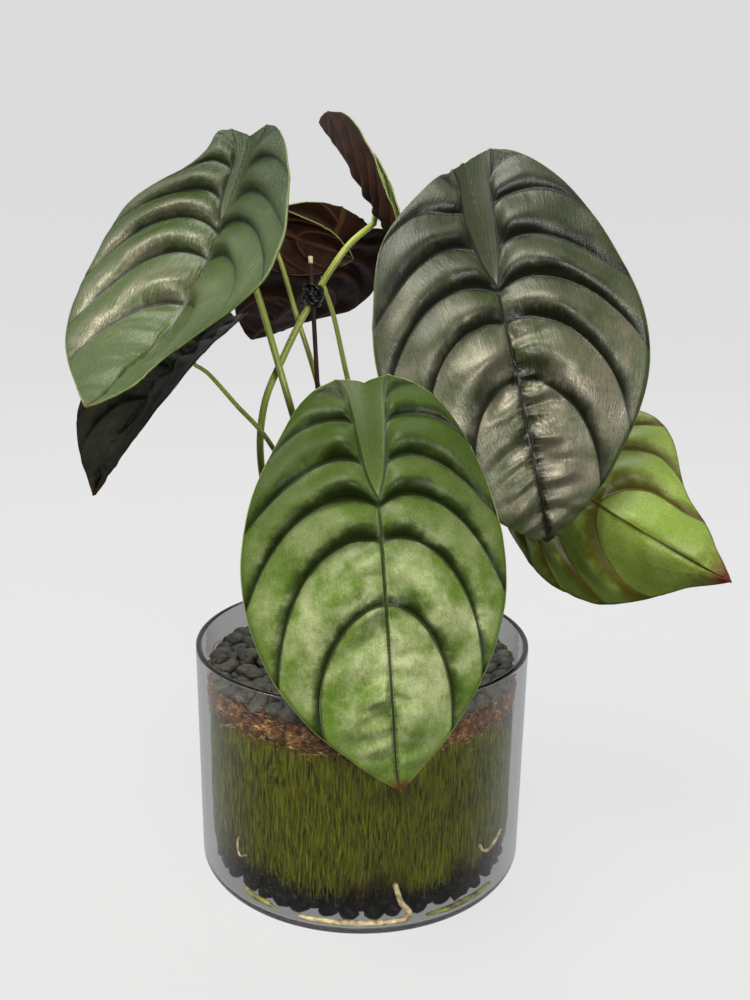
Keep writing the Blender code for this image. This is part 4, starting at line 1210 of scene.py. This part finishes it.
def coirMaterial():
    # Coconut fibre: stiff, dry and frayed, pale brown threads over a dark mat
    mat, shader, add = newMaterial("coconutFibre", {"Specular IOR Level": 0.05})
    where = add("TexCoord")[3]
    thread = add("TexNoise", {"Vector": where, "Scale": 260.0, "Detail": 3.0})[0]
    low = add("MapRange", {"Value": thread, 1: 0.32, 2: 0.55})[0]
    high = add("MapRange", {"Value": thread, 1: 0.55, 2: 0.72})[0]
    brown = add("Mix", {0: low, 6: linear(coir["dark"]), 7: linear(coir["mid"])}, data_type="RGBA")[0]
    colour = add("Mix", {0: high, 6: brown, 7: linear(coir["pale"])}, data_type="RGBA")[0]
    rough = add("MapRange", {"Value": thread, 3: 0.7, 4: 0.95})[0]
    return feed(mat, shader, {"Base Color": colour, "Roughness": rough})


def buildMoss():
    draw = random.Random(moss["seed"])
    inner, outer, low, high = moss["inner"], moss["radius"], moss["low"], moss["high"]
    profile = [(inner, low), (outer - 2, low - 1), (outer, low + 3), (outer, (low + high) / 2)]
    profile += [(outer, high - 3), (inner, high)]
    bm = spinProfile(profile, 120)
    lines = []
    for k in range(moss["strands"]):
        angle = draw.uniform(0, 360)
        length = draw.uniform(*moss["length"])
        top = draw.uniform(low + 8, high + 3)
        uneven = 8 * noise.noise(Vector((angle / 11, 3.3, 0)))
        bottom = max(top - length, 17 + uneven + draw.uniform(0, 8))
        radius = outer + draw.uniform(*moss["outwards"])
        drift = draw.gauss(0, moss["drift"])
        points = []
        for step in range(5):
            share = step / 4
            swing = 1.1 * noise.noise(Vector((share * 2.4, k * 0.37, 0)))
            points.append(onWall(radius + 0.4 * math.sin(5 * share + k), angle + drift * share + swing,
                                 top + (bottom - top) * share))
        thick = draw.uniform(*moss["thick"])
        lines.append((points, [thick * taper for taper in moss["taper"]]))
    joinMesh(bm, tubeMesh(lines, 4))
    piece = addMesh("moss_threads", bm, [mossMaterial()])
    settle(piece, "moss_sleeve")


def buildCoir():
    draw = random.Random(coir["seed"])
    bm = spinProfile(coir["mat"], 96)
    middle, stray = coir["height"]
    lowest, highest = coir["heightLimits"]
    lines = []
    for k in range(coir["fibres"]):
        angle = draw.uniform(0, 360)
        radius = draw.uniform(*coir["radius"])
        z = middle + draw.gauss(0, stray)
        length = draw.uniform(*coir["length"])
        lean = draw.gauss(0, coir["lean"])
        bow = draw.uniform(*coir["bow"])
        points = []
        for step in range(7):
            share = step / 6 - 0.5
            away = length * share
            lift = away * math.sin(lean) + bow * (0.25 - share * share)
            swing = math.degrees(away * math.cos(lean) / radius)
            points.append(onWall(radius + 1.2 * math.sin(6 * share + k), angle + swing,
                                 min(max(z + lift, lowest), highest)))
        thick = draw.uniform(*coir["thick"])
        lines.append((points, [thick * taper for taper in coir["taper"]]))
    joinMesh(bm, tubeMesh(lines, 4))
    piece = addMesh("coir_fibres", bm, [coirMaterial()])
    settle(piece, "coir_collar")


# Soil and roots

soilColours = {"dark": "#1c1410", "crumb": "#4a382a"}
rootFloor = 5.65    # height of a root's middle where it lies on the glass floor
roots = {
    "root_main": dict(
        slot="pale_root", look="cream", sides=12, count=70, radii=[1.6, 1.6, 1.65, 1.6, 1.5, 0.9],
        line=[(87, 12.5, 27.2), (91, 12.8, 27), (93.5, 13.3, 24), (93.4, 14.6, 17), (93.0, 17.5, 10.5),
              (93.0, 16.5, 6.5), (93, 12, rootFloor), (93, 4, rootFloor), (93, -5, rootFloor),
              (93, -14, rootFloor), (92.8, -21, rootFloor)],
    ),
    "root_right": dict(
        slot="lime_root", look="lime", sides=12, count=44, radii=[0.8, 1.5, 1.6, 1.4, 0.8],
        line=[(92.6, 24, rootFloor), (93, 31, rootFloor), (93.2, 38, rootFloor + 0.3),
              (93, 46, rootFloor), (92.6, 54, rootFloor + 0.2)],
    ),
    "root_left": dict(
        slot="lime_root", look="lime", sides=12, count=30, radii=[1.0, 1.4, 1.5, 1.3, 0.7],
        line=[(92.8, -43, rootFloor + 4), (92.8, -40, rootFloor + 2.2), (92.8, -36, rootFloor + 1.6),
              (92.8, -31.5, rootFloor + 1.2), (92.8, -29, rootFloor - 0.9)],
    ),
    "root_fine_right": dict(
        slot="pale_root", look="cream", sides=8, count=30, radii=[0.7, 0.9, 1.0, 0.9, 0.6],
        line=[(92.8, 47, 36), (92.9, 49, 31), (93.0, 53, 29.4), (92.9, 58, 32), (92.8, 62, 34)],
    ),
    "root_fine_left": dict(
        slot="pale_root", look="cream", sides=8, count=24, radii=[0.6, 0.7, 0.7, 0.6],
        line=[(92.1, -47, 39), (92.1, -48, 33), (92.2, -46.5, 27.5), (92.1, -43, 30)],
    ),
}
rootLooks = {
    "cream": {"pale": "#bfae84", "deep": "#75633f"},
    "lime": {"pale": "#83823c", "deep": "#4c451b"},
}


def soilMaterial():
    # Damp potting soil: dark crumbs with a few paler grains
    mat, shader, add = newMaterial("pottingSoil", {"Specular IOR Level": 0.25})
    where = add("TexCoord")[3]
    crumb = add("TexVoronoi", {"Vector": where, "Scale": 320.0})[0]
    share = add("MapRange", {"Value": crumb, 1: 0.1, 2: 0.6, 3: 1.0, 4: 0.0})[0]
    colour = add("Mix", {0: share, 6: linear(soilColours["dark"]), 7: linear(soilColours["crumb"])},
                 data_type="RGBA")[0]
    rough = add("MapRange", {"Value": crumb, 3: 0.95, 4: 0.8})[0]
    bump = add("Bump", {"Height": share, "Strength": 0.9, "Distance": 0.8 * mm})[0]
    return feed(mat, shader, {"Base Color": colour, "Roughness": rough, "Normal": bump})


def rootMaterial(name, look):
    # Living root: pale and moist, with darker scars across it
    mat, shader, add = newMaterial(name, {
        "Specular IOR Level": 0.45,
        "Coat Weight": 0.15,
        "Coat Roughness": 0.3,
    })
    where = add("TexCoord")[3]
    scar = add("TexNoise", {"Vector": where, "Scale": 260.0, "Detail": 4.0})[0]
    share = add("MapRange", {"Value": scar, 1: 0.36, 2: 0.6})[0]
    colour = add("Mix", {0: share, 6: linear(look["deep"]), 7: linear(look["pale"])}, data_type="RGBA")[0]
    rough = add("MapRange", {"Value": scar, 3: 0.55, 4: 0.4})[0]
    bump = add("Bump", {"Height": scar, "Strength": 0.6, "Distance": 0.3 * mm})[0]
    return feed(mat, shader, {"Base Color": colour, "Roughness": rough, "Normal": bump})


def buildRoots():
    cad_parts["soil_core"].material_slots[0].material = soilMaterial()
    mats = {key: rootMaterial(key + "Root", look) for key, look in rootLooks.items()}
    for name, root in roots.items():
        points = curveThrough([onWall(*point) for point in root["line"]], root["count"])
        sizes = np.interp(np.linspace(0, len(root["radii"]) - 1, root["count"]),
                          range(len(root["radii"])), root["radii"])
        bm = tubeMesh([(points, sizes)], root["sides"])
        bm.normal_update()
        for vert in bm.verts:
            vert.co += vert.normal * 0.16 * mm * noise.noise(vert.co * 420)
        piece = addMesh(name + "_grown", bm, [mats[root["look"]]])
        settle(piece, name)


addCamera()
addStudio()
print("camera and studio are set")
buildVase()
print("glass vase is turned")
buildLeaves()
print("leaves are shaped")
buildStems()
buildSupport()
print("petioles, cane and tie are in place")
buildDrain()
buildTopStones()
print("stones are laid")
buildMoss()
buildCoir()
print("moss and coir are packed")
buildRoots()
print("soil and roots are finished")
